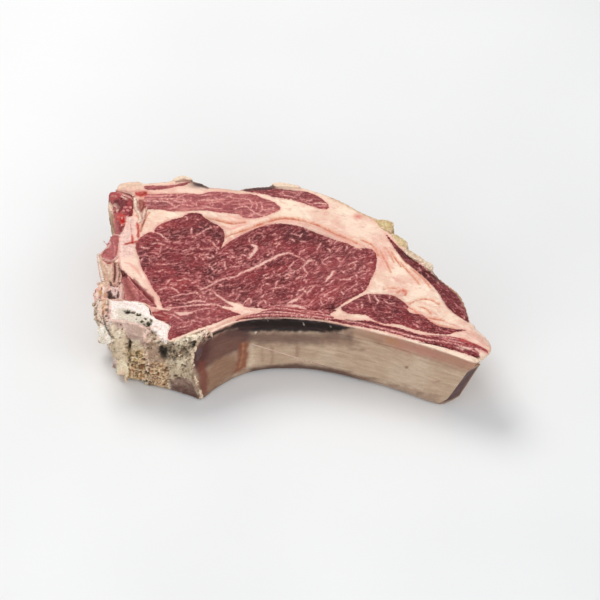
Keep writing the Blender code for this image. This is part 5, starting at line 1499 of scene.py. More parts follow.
def rib_piece():
    columns = 310
    order = np.linspace(0, len(RIB_TOP_LINE) - 1, columns)
    pick = lambda line: np.stack([np.interp(order, np.arange(len(line)), line[:, k]) for k in (0, 1)], axis=1)
    top, mid, low = pick(RIB_TOP_LINE), pick(RIB_MID_LINE), pick(RIB_LOW_LINE)
    wide = np.interp(order, np.arange(len(RIB_WIDE)), RIB_WIDE)
    behind = top - outward(top, closed=False) * wide[:, None]
    reach = 1.7 * np.clip(1 - np.arange(columns) / 5.0, 0, 1)
    far = np.clip(1 - np.arange(columns)[::-1] / 16.0, 0, 1) ** 1.5
    profile = [(0.0, 1.0), (0.0, 0.75), (0.0, 0.5), (0.0, 0.32), (0.25, 0.20), (0.7, 0.12), (1.3, 0.07), (2.1, 0.03), (3.0, 0.01)]
    profile += [(z, 0.0) for z in np.linspace(3.9, 38.0, 42)]
    profile += [(38.8, 0.02), (39.4, 0.06), (39.8, 0.12), (40.0, 0.22), (40.0, 0.5), (40.0, 0.75), (40.0, 1.0)]
    profile += [(z, 1.0) for z in (38, 32, 26, 20, 14, 8, 3)]
    m = len(profile)
    rings, front_share = [], []
    for z, back in profile:
        f = through(low, mid, top, z)
        b = np.column_stack([behind[:, 0] + lean_x(behind[:, 0], z), behind[:, 1]])
        both = f + (b - f) * back
        over = far * ((1.2 + 4.4 * back) * ramp(z, 0, 6) - 2.4 * (1 - ramp(z, 0, 8)) * (1 - 0.6 * back))
        rings.append(np.column_stack([both[:, 0] - reach + over, both[:, 1] + 0.4 * reach - 0.12 * over, np.full(columns, z)]))
        front_share.append(np.full(columns, float(back < 0.3)))
    grid = np.array(rings)  # profile x columns x 3
    xyz = grid.reshape(-1, 3)
    fs = np.concatenate(front_share)
    out2 = outward(through(low, mid, top, 20.0), closed=False)
    normal = np.tile(np.column_stack([out2, np.zeros(columns)]), (m, 1))
    q = xyz * (0.10, 0.10, 0.42)
    d = 0.40 * noise3(xyz * 0.035, 70) + 0.13 * noise3(q, 71) + 0.022 * noise3(q * 2.6, 72) + 0.03 * noise3(xyz * 0.9, 73)
    uv = seen(xyz)
    d = d - 1.3 * np.exp(-(((uv[:, 0] - 206) / 9) ** 2 + ((uv[:, 1] - 352) / 10) ** 2))
    d = d - 0.5 * ramp(to_segments(uv, np.array([(345, 331), (380, 341.5), (420, 353), (462, 369)]), [0.2, 0.2], 6.0), 3.0, 0.0)
    xyz = xyz + normal * (d * fs)[:, None]
    faces = []
    idx = np.arange(m * columns).reshape(m, columns)
    for r in range(m):
        r2 = (r + 1) % m
        a, b, c, e = idx[r, :-1], idx[r, 1:], idx[r2, 1:], idx[r2, :-1]
        faces.append(np.column_stack([a, b, c]))
        faces.append(np.column_stack([a, c, e]))
    tris = np.vstack(faces)
    # the two ends, each with its own inner rings so that the sawn face can be rough
    extra, ends = [], []
    count = len(xyz)
    for col, flip in ((0, False), (columns - 1, True)):
        rim = idx[:, col]
        centre = xyz[rim].mean(0)
        previous = rim
        for share in (0.82, 0.64, 0.46, 0.28, 0.12):
            ring = centre + (xyz[rim] - centre) * share
            extra.append(ring)
            now = count + np.arange(m)
            count += m
            a, b, c, e = previous, np.roll(previous, -1), np.roll(now, -1), now
            two = [np.column_stack([a, c, b]), np.column_stack([a, e, c])]
            ends += [t[:, ::-1] for t in two] if flip else two
            previous = now
        extra.append(centre[None])
        a, b = previous, np.roll(previous, -1)
        fan = np.column_stack([a, np.full(m, count), b])
        ends.append(fan[:, ::-1] if flip else fan)
        count += 1
    n_main = len(xyz)
    xyz = np.vstack([xyz] + extra)
    tris = np.vstack([tris] + ends)
    p = rib_coats(Paint(xyz, (188, 160, 136)))
    # sides that are not the outer face
    fs = np.concatenate([fs, np.zeros(len(xyz) - n_main)])
    other = Paint(xyz, (176, 148, 122))
    other.speckle(0.25, -0.1, 0.5, (140, 104, 84), 0.8)
    other.speckle(0.6, 0.1, 0.5, (206, 184, 156), 0.6, seed=4)
    end = np.zeros(len(xyz))
    end[n_main:] = 1.0
    cap = Paint(xyz, (92, 68, 68))
    cap.speckle(0.5, 0.1, 0.5, (136, 108, 102), 0.6, seed=6)
    cap.speckle(0.9, 0.1, 0.5, (70, 40, 40), 0.7, seed=7)
    p.coat(ramp(-p.uv[:, 0], -246, -232) * 0.28, (84, 44, 38))
    rgb = p.rgb * fs[:, None] + other.rgb * (1 - fs[:, None])
    rgb = rgb * (1 - end[:, None]) + cap.rgb * end[:, None]
    # pit: bumped holes in the material with painted shade in them, mostly on the sawn ends
    piece = make("bone_rib", xyz, tris, {"paint": np.column_stack([rgb, np.ones(len(xyz))]), "pit": 0.15 + 0.6 * end}, bone_material("vis_rib", 0.42, 0.30, 0.35), 50)
    print("rib", len(tris), "triangles")
    return piece


piece = rib_piece()
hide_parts("rib_bone")


# ---- the chine -------------------------------------------------------------------------------
def chine_front_line(z, step=0.0):
    low = np.array([at(*p[2], 0.0) for p in CHINE_FRONT])
    mid = np.array([at(*p[1], 0.6 * THICK) for p in CHINE_FRONT])
    top = np.array([at(*p[0]) for p in CHINE_FRONT])
    return through(low, mid, top, z)


def front_spot(u, v):
    """The point of the chine's sawn face that is seen at a grid position."""
    best, where = 1e9, None
    for z in np.linspace(0.5, 48, 60):
        line = chine_front_line(z)
        us, vs = to_u(line[:, 0]), to_v(line[:, 1], z)
        order = np.argsort(us)
        here = float(np.interp(u, us[order], vs[order]))
        if abs(here - v) < best:
            best, where = abs(here - v), z
    line = chine_front_line(where)
    order = np.argsort(line[:, 0])
    x = at(u, 0)[0]
    return np.array([x, float(np.interp(x, line[order, 0], line[order, 1])), where])


def lump(bm, centre, radii, seed, turn=0.0):
    made = bmesh.ops.create_icosphere(bm, subdivisions=3, radius=1.0)
    pts = np.array([tuple(v.co) for v in made["verts"]])
    pts = pts * (1 + 0.35 * noise3(pts * 1.3, seed)[:, None])
    pts = pts * np.asarray(radii)
    c, s2 = math.cos(turn), math.sin(turn)
    pts = pts @ np.array([[c, 0, -s2], [0, 1, 0], [s2, 0, c]])
    for v, q in zip(made["verts"], pts + np.asarray(centre)):
        v.co = q


def fused(bm, voxel):
    """The outer skin of everything in bm: its points, their normals and its triangles."""
    mesh = bpy.data.meshes.new("fused")
    bm.to_mesh(mesh)
    bm.free()
    base = bpy.data.objects.new("fused", mesh)
    bpy.context.scene.collection.objects.link(base)
    mod = base.modifiers.new("fuse", "REMESH")
    mod.mode = "VOXEL"
    mod.voxel_size = voxel
    mod.adaptivity = 0.0
    bpy.context.view_layer.update()
    solid = base.evaluated_get(bpy.context.evaluated_depsgraph_get()).to_mesh()
    n = len(solid.vertices)
    xyz = np.empty(n * 3)
    solid.vertices.foreach_get("co", xyz)
    xyz = xyz.reshape(n, 3)
    normal = np.empty(n * 3, dtype=np.float32)
    solid.vertices.foreach_get("normal", normal)
    normal = normal.reshape(n, 3).astype(float)
    solid.calc_loop_triangles()
    tris = np.empty(len(solid.loop_triangles) * 3, dtype=np.int32)
    solid.loop_triangles.foreach_get("vertices", tris)
    tris = tris.reshape(-1, 3).copy()
    base.evaluated_get(bpy.context.evaluated_depsgraph_get()).to_mesh_clear()
    bpy.data.objects.remove(base, do_unlink=True)
    bpy.data.meshes.remove(mesh)
    return xyz, normal, tris


def turned(a, b, c):
    """A turn about X, then Y, then Z."""
    x = np.array([[1, 0, 0], [0, math.cos(a), -math.sin(a)], [0, math.sin(a), math.cos(a)]])
    y = np.array([[math.cos(b), 0, math.sin(b)], [0, 1, 0], [-math.sin(b), 0, math.cos(b)]])
    z = np.array([[math.cos(c), -math.sin(c), 0], [math.sin(c), math.cos(c), 0], [0, 0, 1]])
    return z @ y @ x


def chip(bm, centre, radii, rng, tumble=1.2):
    """A broken crumb: a box with its corners knocked about."""
    made = bmesh.ops.create_cube(bm, size=2.0)
    pts = np.array([tuple(v.co) for v in made["verts"]]) * rng.uniform(0.45, 1.05, (8, 3)) * np.asarray(radii)
    pts = pts @ turned(rng.normal() * tumble, rng.normal() * tumble, rng.uniform(-1, 1) * 3).T + np.asarray(centre)
    for v, q in zip(made["verts"], pts):
        v.co = q


# where crumbs lie on the sawn face: region, count, size, tallness, tumble
CRUMBS = [
    ([(97, 300), (112, 300), (113, 326), (103, 330), (97, 318)], 42, (0.6, 1.5), 1.6, 0.5),
    ([(101, 330), (111, 328), (113, 344), (103, 344)], 16, (0.8, 1.7), 1.2, 1.2),
    ([(112, 332), (127, 332), (128, 362), (114, 360)], 34, (0.4, 1.0), 3.2, 0.22),
    ([(114, 360), (128, 360), (129, 378), (117, 373)], 14, (0.6, 1.3), 1.6, 0.6),
    ([(128, 342), (146, 340), (149, 374), (168, 364), (170, 387), (129, 378)], 110, (0.45, 1.35), 1.0, 1.4),
    ([(146, 328), (160, 332), (164, 344), (148, 342)], 18, (0.4, 1.0), 0.8, 1.0),
    ([(150, 344), (162, 346), (163, 370), (150, 370)], 26, (0.3, 0.8), 2.4, 0.4),
    ([(168, 341), (192, 341), (193, 360), (168, 360)], 60, (0.35, 0.95), 1.0, 1.3),
    ([(169, 360), (192, 358), (197, 378), (170, 378)], 54, (0.3, 0.75), 1.6, 0.9),
    ([(171, 379), (196, 379), (202, 397), (176, 392)], 22, (0.3, 0.7), 1.2, 1.0),
    ([(172, 336), (198, 330), (206, 334), (196, 342), (174, 344)], 44, (0.35, 0.9), 0.9, 1.2),
]


def chine_piece():
    bm = bmesh.new()
    back = np.array([at(*p) for p in CHINE_BACK])
    rings = []
    for z in (0.3, 2.0, 8, 15, 22, 30, 38, 44, 49.3):
        rear_now = back + np.column_stack([lean_x(back[:, 0], z), np.zeros(len(back))])
        rear_now[:, 0] += 4.2 * ramp(-to_u(back[:, 0]), -112, -99) * (1 - ramp(z, 5, 34))
        ring = np.vstack([chine_front_line(z), rear_now])
        ring = ring - outward(ring) * (0.7 if z in (0.3, 49.3) else 0.0)
        rings.append([bm.verts.new((p[0], p[1], z)) for p in ring])
    for a, b in zip(rings[:-1], rings[1:]):
        for k in range(len(a)):
            j = (k + 1) % len(a)
            bm.faces.new((a[k], a[j], b[j], b[k]))
    bm.faces.new(rings[0][::-1])
    bm.faces.new(rings[-1])
    bmesh.ops.triangulate(bm, faces=bm.faces[:])
    # broken knobs, ridges and splinters on the sawn side
    for u, v, r, seed, turn in (
        (122.6, 368.6, (3.7, 4.2, 7.0), 1, 0.1), (120, 345, (3.8, 2.4, 9.0), 2, 0.0), (118, 335, (3.8, 2.4, 5.0), 3, 0.1),
        (147.2, 346, (1.2, 2.0, 10.0), 4, 0.0), (148.6, 358, (1.4, 1.7, 6.0), 5, 0.1), (152, 330.6, (3.6, 1.8, 1.3), 6, 0.3), (156, 337, (3.6, 2.0, 1.3), 12, -0.1),
        (106.6, 335, (4.4, 3.4, 4.2), 7, 0.4), (102.8, 331, (2.8, 2.8, 4.0), 8, 0.3), (102.6, 341, (3.0, 2.6, 3.2), 9, -0.3), (108.6, 341, (4.0, 3.0, 2.8), 10, 0.0),
        (136, 343, (3.2, 1.8, 3.2), 11, 0.2), (139, 355, (4.2, 2.2, 3.8), 13, 0.1), (133, 372, (4.0, 2.0, 3.0), 14, 0.0), (142, 377, (4.0, 1.8, 2.2), 15, 0.2),
        (152, 384, (4.0, 1.7, 1.8), 16, 0.1), (163, 384, (4.0, 1.6, 2.4), 17, 0.0), (153, 371, (3.0, 1.6, 3.4), 18, 0.1), (166, 374, (3.4, 1.5, 4.4), 19, 0.0),
        (181, 361, (4.4, 1.2, 2.0), 20, 0.5), (194.4, 347, (1.5, 1.6, 5.0), 21, 0.5), (192.4, 356, (1.8, 1.9, 4.0), 29, 0.0), (193, 366, (1.5, 1.5, 7.0), 22, -0.1),
        (197, 382, (1.4, 1.4, 9.0), 23, -0.2), (201, 394, (1.2, 1.2, 5.0), 30, -0.2),
        (182, 340, (7.0, 1.6, 2.2), 24, -0.35), (192, 337, (5.0, 1.7, 2.2), 25, -0.4), (166, 344.5, (2.0, 1.8, 2.6), 26, 0.2),
        (201, 335.4, (3.4, 2.2, 2.4), 31, -0.6), (205.6, 332.6, (3.0, 2.2, 2.2), 32, -0.5), (209, 330.6, (2.6, 1.8, 1.6), 33, -0.4),
        (116, 364, (1.3, 1.4, 3.6), 27, -0.2), (115.4, 371.6, (1.3, 1.2, 2.2), 28, 0.1), (176, 344.4, (2.0, 1.2, 1.6), 34, 0.3),
    ):
        c = front_spot(u, v)
        lump(bm, (c[0], c[1] + 0.4 * r[1], c[2]), r, seed, turn)
    for u, v, z, r, seed, turn in (
        (99, 318, 40, (2.6, 2.0, 1.4), 41, 0.7), (98, 309, 43, (1.8, 2.6, 4.0), 42, 0.2), (99.4, 300, 46, (2.2, 2.4, 2.6), 43, 0.1),
        (101.5, 324, 34, (2.0, 1.8, 3.0), 44, 0.5), (104, 322, 45, (3.4, 2.6, 3.0), 45, 0.2), (109, 316, 48.6, (4.0, 3.2, 1.6), 46, 0.0),
        (105, 305, 48.4, (3.0, 4.0, 1.8), 47, 0.0), (112, 322, 46.5, (3.2, 2.2, 2.6), 48, 0.1),
        (97.6, 316, 38, (2.8, 0.8, 0.7), 49, 0.7), (97.2, 320, 36, (2.4, 0.7, 0.6), 50, 0.5), (94.8, 305, 42, (1.4, 1.2, 2.4), 51, 0.3),
        (126.4, 378.6, 2.6, (0.9, 1.4, 2.6), 52, -0.4), (116, 366, 8, (2.4, 1.6, 1.0), 53, -0.5),
    ):
        y = (V0 + LOWER * (1 - z / THICK) - v) * STEP_Y
        lump(bm, ((u - U0) * STEP_X, y, z), r, seed, turn)
    rng = np.random.default_rng(12)
    for region, many, size, tall, tumble in CRUMBS:
        loop = np.array(region, float)
        found = 0
        while found < many:
            q = rng.uniform(loop.min(0), loop.max(0))
            if not inside(q[None], loop)[0]:
                continue
            found += 1
            c, r = front_spot(*q), rng.uniform(*size)
            chip(bm, (c[0], c[1] + rng.uniform(-0.1, 0.8) * r, c[2]), (r, r * 0.9, r * tall), rng, tumble)
    xyz, normal, tris = fused(bm, 0.5)
    n = len(xyz)
    uv = seen(xyz)
    u, v = uv[:, 0], uv[:, 1]
    plan_v = to_v(xyz[:, 1])
    high = ramp(xyz[:, 2], 43.5, 47.5)
    # the surface: cells of spongy bone, crumbs, and smooth sawn planes
    crumb = fbm(xyz * 0.30, 4, 80, 0.62)
    rng = np.random.default_rng(4)
    lo, hi = xyz.min(0) - 2, xyz.max(0) + 2

    def cells(volume, size):
        """0 outside, 1 at the middle of round cells of mixed size."""
        middle = rng.uniform(lo, hi, (int(np.prod(hi - lo) / volume), 3))
        wide = rng.uniform(*size, len(middle))
        tree = kdtree.KDTree(len(middle))
        for i, q in enumerate(middle):
            tree.insert(q, i)
        tree.balance()
        hit = [tree.find(q) for q in xyz]
        return ramp(np.array([h[2] for h in hit]) / wide[[h[1] for h in hit]], 1.0, 0.45)

    pores = cells(2.4, (0.3, 0.9)) * ramp(noise3(xyz * 0.22, 93), -0.35, 0.25)
    caves = cells(16.0, (0.5, 2.1)) * ramp(noise3(xyz * 0.16, 90), -0.15, 0.2)
    smooth_area = np.maximum.reduce([
        ramp(signed(uv, [np.array([(110, 298), (150, 303), (172, 322), (170, 342), (160, 334), (146, 322), (112, 322)], float)], 6), -1, 1) * high,
        ramp(signed(uv, [np.array([(124, 322), (147, 326), (146, 344), (136, 344), (128, 338)], float)], 6), -1, 1),
        0.8 * ramp(signed(uv, [np.array([(172, 379), (190, 377), (197, 386), (202, 400), (180, 394), (170, 388)], float)], 6), -1, 1),
        0.6 * ramp(signed(uv, [np.array([(149, 338), (162, 345), (162, 372), (149, 368)], float)], 6), -1, 1),
        0.85 * ramp(signed(uv, [np.array([(118, 364), (125, 360), (128.4, 368), (128, 377), (121, 377)], float)], 6), -1, 1),
        0.55 * ramp(signed(uv, [np.array([(100, 329), (106, 326), (112, 334), (112, 344), (102, 345)], float)], 6), -1, 1),
        0.45 * ramp(signed(uv, [np.array([(113, 328), (127, 330), (127, 358), (115, 358)], float)], 6), -1, 1),
    ])
    rough = 1 - smooth_area
    disp = rough * (1.45 * crumb + 0.34 * noise3(xyz * 1.1, 84) - 0.75 * pores - 1.15 * caves) + 0.10 * noise3(xyz * 0.7, 85)
    holes = [
        (164.5, 352, 4.8, 6.0, 3.0), (194.6, 344, 3.0, 3.2, 2.2), (142.5, 366, 3.6, 2.0, 2.2), (130.4, 345, 1.4, 7.0, 1.8), (134, 366, 2.4, 1.6, 1.5),
        (147, 373, 3.0, 1.6, 1.6), (159, 374, 1.6, 3.0, 1.4), (176, 352, 3.0, 2.0, 1.6), (184, 349, 3.0, 2.0, 1.5), (181, 357, 3.0, 1.6, 1.3),
        (187, 355, 2.0, 1.6, 1.2), (173, 345, 2.0, 2.0, 1.4), (185, 342, 2.4, 1.4, 1.2), (130, 360, 1.6, 3.0, 1.4), (157, 362, 2.0, 1.6, 0.9),
        (128.6, 311.4, 3.0, 1.6, 2.4), (134, 312, 2.2, 1.2, 1.8), (139.5, 314.6, 2.4, 1.1, 1.6), (149.6, 323, 2.4, 1.8, 2.0), (143, 321, 1.6, 0.9, 1.4),
        (146.6, 318.4, 1.4, 0.9, 1.2), (152, 321, 1.2, 1.0, 1.2), (112, 294, 5.0, 2.0, 2.4), (106.4, 330, 1.2, 3.0, 1.8), (101, 321, 2.2, 1.0, 1.6), (104, 312, 1.0, 4.0, 1.2),
    ]
    disp = disp + rough * ramp(plan_v, 300, 330) * 0.8 * noise3(xyz * 0.62, 95) * ramp(-xyz[:, 2], -24, -12)
    depth = np.zeros(n)
    wob = 1 + 0.7 * noise3(xyz * 0.55, 91) + 0.5 * noise3(xyz * 1.3, 92)
    for cu, cv, ru, rv, s2 in holes:
        depth = np.maximum(depth, s2 * np.exp(-np.clip((((u - cu) / ru) ** 2 + ((v - cv) / rv) ** 2) * wob, 0, 30) ** 1.3))
    facing = ramp(-normal[:, 1] + normal[:, 2], 0.1, 0.5)
    disp = disp - depth * facing
    xyz2 = xyz + normal * disp[:, None]
    # the upper plate falls off towards the sawn face, and dips under the meat behind it
    fall = ramp(plan_v, 320, 336) * high * ramp(-u, -172, -150)
    xyz2[:, 2] -= 2.4 * fall
    meat_side = signed(xyz2[:, :2], [OUTER], 4.0)
    xyz2[:, 2] = np.where(meat_side > 0.25, np.minimum(xyz2[:, 2], 44.4), xyz2[:, 2])
    xyz2[:, 2] = np.clip(xyz2[:, 2], 0.05, 50.2)
    # pit: how deep the bumped holes go in the material, and how much painted shade lies in them
    pit = np.clip(rough * (0.2 + 0.5 * pores) + depth * 0.4 * facing, 0, 1)
    p = Paint(xyz, (204, 184, 160))
    p.speckle(0.10, -0.2, 0.4, (222, 204, 180), 0.8, seed=1)
    p.speckle(0.22, 0.05, 0.45, (176, 150, 124), 0.7, (1, 1, 0.5), seed=2)
    p.speckle(0.5, 0.1, 0.5, (236, 224, 204), 0.6, seed=3)
    # upper plate
    p.coat(high * ramp(-v, -332, -316), (240, 226, 216))
    p.area([(110, 298.6), (122, 299.6), (135, 300), (146, 303), (152, 308), (154, 314), (164, 320), (172, 323), (169, 332), (168, 344), (163, 340), (156, 330), (150, 326), (140, 316), (126, 308), (112, 309)], (252, 240, 234), 0.97, 0.8, 0.9)
    p.area([(118, 311), (126, 308), (142, 313), (154, 321), (151, 327), (142, 326), (128, 322), (118, 320)], (214, 204, 186), 0.8, 1.6, 1.6, 0.4)
    p.line([(121, 303), (132, 305), (141, 309)], [2.0, 3.0], (236, 212, 204), 0.6, 1.4, 1.0)
    # dark spots on the holes sunk in the upper plate: painted shade
    for cu, cv, ru, rv in ((128.6, 311.4, 3.0, 1.5), (134, 312.2, 2.6, 1.2), (139.5, 314.6, 2.6, 1.2), (149.6, 323, 2.6, 2.0), (143, 321, 2.0, 1.0), (146.6, 318.4, 1.6, 1.0), (152, 320, 1.4, 1.4), (137, 319, 1.2, 0.8)):
        p.spot(cu, cv, ru, rv, (92, 82, 56), 0.95, 0.6, 0.8)
    # pale pink plane
    p.area([(112, 318.6), (126, 320), (142, 324), (152, 326), (152, 333), (146, 336), (145, 346), (135, 346), (127, 338), (120, 328), (112, 324)], (196, 166, 152), 0.9, 1.6, 1.6)
    p.area([(126, 322), (142, 326), (146, 334), (145, 344), (136, 342), (128, 332)], (178, 150, 138), 0.6, 2.4, 1.6, 0.3)
    p.line([(110, 319.6), (124, 321.2), (136, 323.2), (148, 327)], [1.8, 2.2], (236, 202, 190), 0.8, 0.8, 0.7)
    # left column, knob and chips
    p.area([(110, 334), (118, 329), (127, 332), (128, 346), (127, 358), (119, 362), (113, 352)], (222, 202, 174), 0.9, 1.6, 1.6, 0.4)
    p.area([(113, 326), (126, 329), (126, 336), (114, 336)], (238, 222, 200), 0.8, 1.6, 1.4, 0.4)
    p.area([(112, 360), (117, 358), (118, 370), (114, 374)], (222, 204, 200), 0.8, 1.0, 1.0)
    p.area([(94, 297), (104, 297), (112, 301), (112, 318), (106, 327), (99, 320), (95, 306)], (236, 208, 190), 0.9, 1.2, 1.4, 0.5)
    p.spot(105, 306, 1.8, 9.0, (216, 156, 112), 0.75, 0.5, 0.6)
    p.spot(109.6, 312, 2.6, 7.0, (240, 196, 188), 0.7, 0.5)
    p.spot(101.4, 303, 1.6, 5.0, (246, 226, 214), 0.8, 0.5)
    # dark lines along the cracks between the chips: painted shade
    p.line([(108.4, 298), (109.4, 306), (108.8, 313)], [1.2, 1.6], (96, 56, 50), 0.7, 0.7, 0.6)
    p.line([(104, 316), (107, 326), (111, 332)], [1.4, 2.0], (64, 46, 40), 0.85, 0.8, 0.7)
    p.line([(97, 319), (103, 323), (107, 325)], [1.4, 1.4], (78, 64, 58), 0.8, 0.8, 0.7)
    p.line([(97, 312), (100, 314.6), (103, 318)], [1.0, 1.2], (90, 70, 62), 0.7, 0.7, 0.6)
    # crumbly yellow middle
    p.area([(127, 345), (137, 342), (145, 350), (146, 362), (149, 372), (146, 381), (128, 379), (128, 362)], (198, 166, 126), 0.9, 2.0, 2.4, 0.5)
    p.area([(134, 352), (144, 352), (144, 360), (134, 362)], (218, 198, 150), 0.75, 1.8, 2.0, 0.6)
    p.area([(133, 340), (141, 339), (142, 349), (135, 351), (131, 346)], (220, 206, 178), 0.8, 1.6, 1.8, 0.6)
    # dark line down the slot sunk there: painted shade
    p.line([(129.6, 338), (130.4, 350), (131.6, 362)], [2.0, 2.4], (112, 94, 64), 0.85, 1.0, 1.2, 0.6)
    # right of the ridge
    p.area([(148, 336), (158, 341), (164, 346), (163, 372), (150, 370), (148, 352)], (170, 140, 118), 0.9, 2.0, 1.8, 0.4)
    p.area([(150, 368), (166, 360), (170, 372), (168, 388), (154, 386), (148, 378)], (188, 152, 118), 0.85, 2.2, 2.2, 0.5)
    p.line([(145.4, 332), (147.2, 344), (147.4, 356), (148.6, 370)], [3.0, 3.0], (232, 198, 180), 0.95, 0.9, 0.9, 0.5)
    p.line([(145.6, 334), (150, 328), (156, 325.6), (162, 328.6)], [2.0, 1.8], (240, 208, 196), 0.9, 0.8, 0.7)
    p.line([(147, 340), (152, 336.4), (158, 335.4), (161.6, 337.6)], [2.6, 2.0], (232, 200, 182), 0.9, 0.8, 0.7)
    p.spot(154, 331.6, 4.0, 1.8, (150, 122, 100), 0.7, 0.5)
    p.spot(155, 341, 4.0, 2.0, (140, 110, 90), 0.6, 0.5)
    # grey green pores, and the hollows painted dark: painted shade
    p.area([(168, 341), (180, 341), (190, 346), (192, 354), (184, 360), (172, 360), (166, 356)], (160, 142, 118), 0.9, 2.4, 2.4, 0.5)
    # the big hollow painted dark: painted shade
    p.area([(160, 347), (168, 345), (171, 351), (170, 359), (162, 359)], (72, 62, 52), 0.8, 2.8, 3.0, 0.35)
    p.area([(172, 340), (184, 334), (196, 329), (206, 325), (212, 329), (208, 337), (198, 340), (186, 343), (176, 345)], (255, 240, 214), 0.95, 1.2, 1.2, 0.5)
    p.area([(197, 328), (206, 325), (214, 328), (207, 338), (200, 343), (199, 338)], (236, 206, 188), 0.85, 1.6, 1.0)
    p.spot(200, 335, 2.6, 2.4, (252, 240, 214), 0.8, 0.4)
    # the hollow painted dark: painted shade
    p.area([(190.6, 341), (197, 340), (198, 345), (193.6, 348.4), (190.6, 346)], (84, 70, 52), 0.9, 1.2, 1.0, 0.5)
    p.area([(170, 362), (184, 357), (192, 358), (196, 372), (198, 382), (186, 378), (172, 380), (168, 372)], (200, 182, 156), 0.9, 2.2, 2.0, 0.5)
    p.area([(174, 360), (188, 355), (190, 361), (178, 368)], (236, 222, 196), 0.75, 1.6, 2.0, 0.7)
    p.area([(170, 380), (184, 378), (194, 380), (198, 390), (202, 402), (188, 398), (172, 392)], (112, 84, 75), 0.95, 2.2, 1.8, 0.35)
    p.area([(172, 386), (182, 388), (196, 393), (198, 398), (184, 394)], (88, 58, 52), 0.8, 2.4, 2.4, 0.35)
    p.area([(172, 379), (186, 377), (194, 382), (184, 385), (172, 384)], (166, 138, 124), 0.55, 2.0, 2.4, 0.35)
    p.line([(203, 341), (197.6, 346.6), (193.4, 353.6), (194, 364), (197.6, 377), (200.6, 389), (203.6, 400)], [5.2, 3.6], (236, 214, 188), 0.97, 1.0, 0.8, 0.5)
    p.line([(196, 366), (199.6, 380), (202.4, 392)], [1.6, 1.2], (216, 184, 158), 0.7, 0.8, 0.5)
    p.spot(126, 383, 1.4, 2.6, (244, 236, 226), 0.95)
    # painted shade in the hollows, pores, caves and holes; painted highlights on the crowns of the crumbs
    p.coat(ramp(crumb, 0.10, 0.45) * rough * 0.60, (250, 232, 204))
    p.coat(ramp(-crumb, 0.10, 0.45) * rough * 0.66, (112, 78, 54))
    p.coat(0.45 * pores * rough, (120, 92, 66))
    p.coat(0.80 * caves * rough, (62, 46, 34))
    p.coat(np.clip(depth * 0.8 - 0.45, 0, 0.92) * facing, (46, 38, 30))
    # coarse crumbs along the foot, with painted highlights and painted shade on them, then the smooth knobs over them
    foot = ramp(signed(uv, [np.array([(127, 356), (146, 350), (150, 362), (168, 362), (170, 376), (170, 390), (150, 388), (127, 380)], float)], 6), -1.5, 1.5)
    bits = noise3(xyz * 0.62, 95) + 0.5 * noise3(xyz * 1.3, 96)
    p.coat(foot * ramp(bits, 0.12, 0.42) * 0.75, (246, 226, 188))
    p.coat(foot * ramp(bits, -0.10, -0.42) * 0.80, (96, 62, 40))
    p.coat(foot * ramp(noise3(xyz * 0.3, 97), 0.1, 0.4) * 0.35, (206, 152, 104))
    spongy = ramp(signed(uv, [np.array([(170, 342), (192, 338), (194, 350), (184, 358), (168, 358)], float)], 6), -2, 1)
    p.coat(spongy * ramp(bits, -0.05, -0.4) * 0.6, (66, 54, 42))
    p.coat(spongy * ramp(bits, 0.15, 0.5) * 0.5, (206, 192, 164))
    p.area([(118, 361), (125, 358), (129, 367), (128.6, 378), (121, 377), (116.6, 370)], (246, 230, 200), 0.97, 0.9, 0.8, 0.4)
    p.spot(123, 374, 3.4, 4.0, (238, 204, 178), 0.7)
    p.area([(98, 328), (106, 324.6), (112, 333), (114, 341), (104, 347), (98, 339)], (250, 243, 230), 0.96, 1.0, 0.9, 0.5)
    # dark line along the crack sunk there: painted shade
    p.line([(106.4, 325.4), (110, 330.6), (112.6, 334.4)], [1.2, 1.4], (52, 40, 36), 0.85, 0.6, 0.4)
    # the faces turned back and down are coated a darker brown
    hidden = ramp(normal[:, 1], 0.1, 0.6) + ramp(-normal[:, 2], 0.5, 0.9)
    p.coat(0.5 * np.clip(hidden, 0, 1), (150, 120, 98))
    rgba = np.column_stack([p.rgb, np.ones(n)])
    piece = make("bone_chine", xyz2, tris, {"paint": rgba, "pit": pit}, bone_material("vis_chine", 0.62, 0.3), 60)
    print("chine", len(tris), "triangles")
    return piece


piece = chine_piece()
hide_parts("chine_bone")

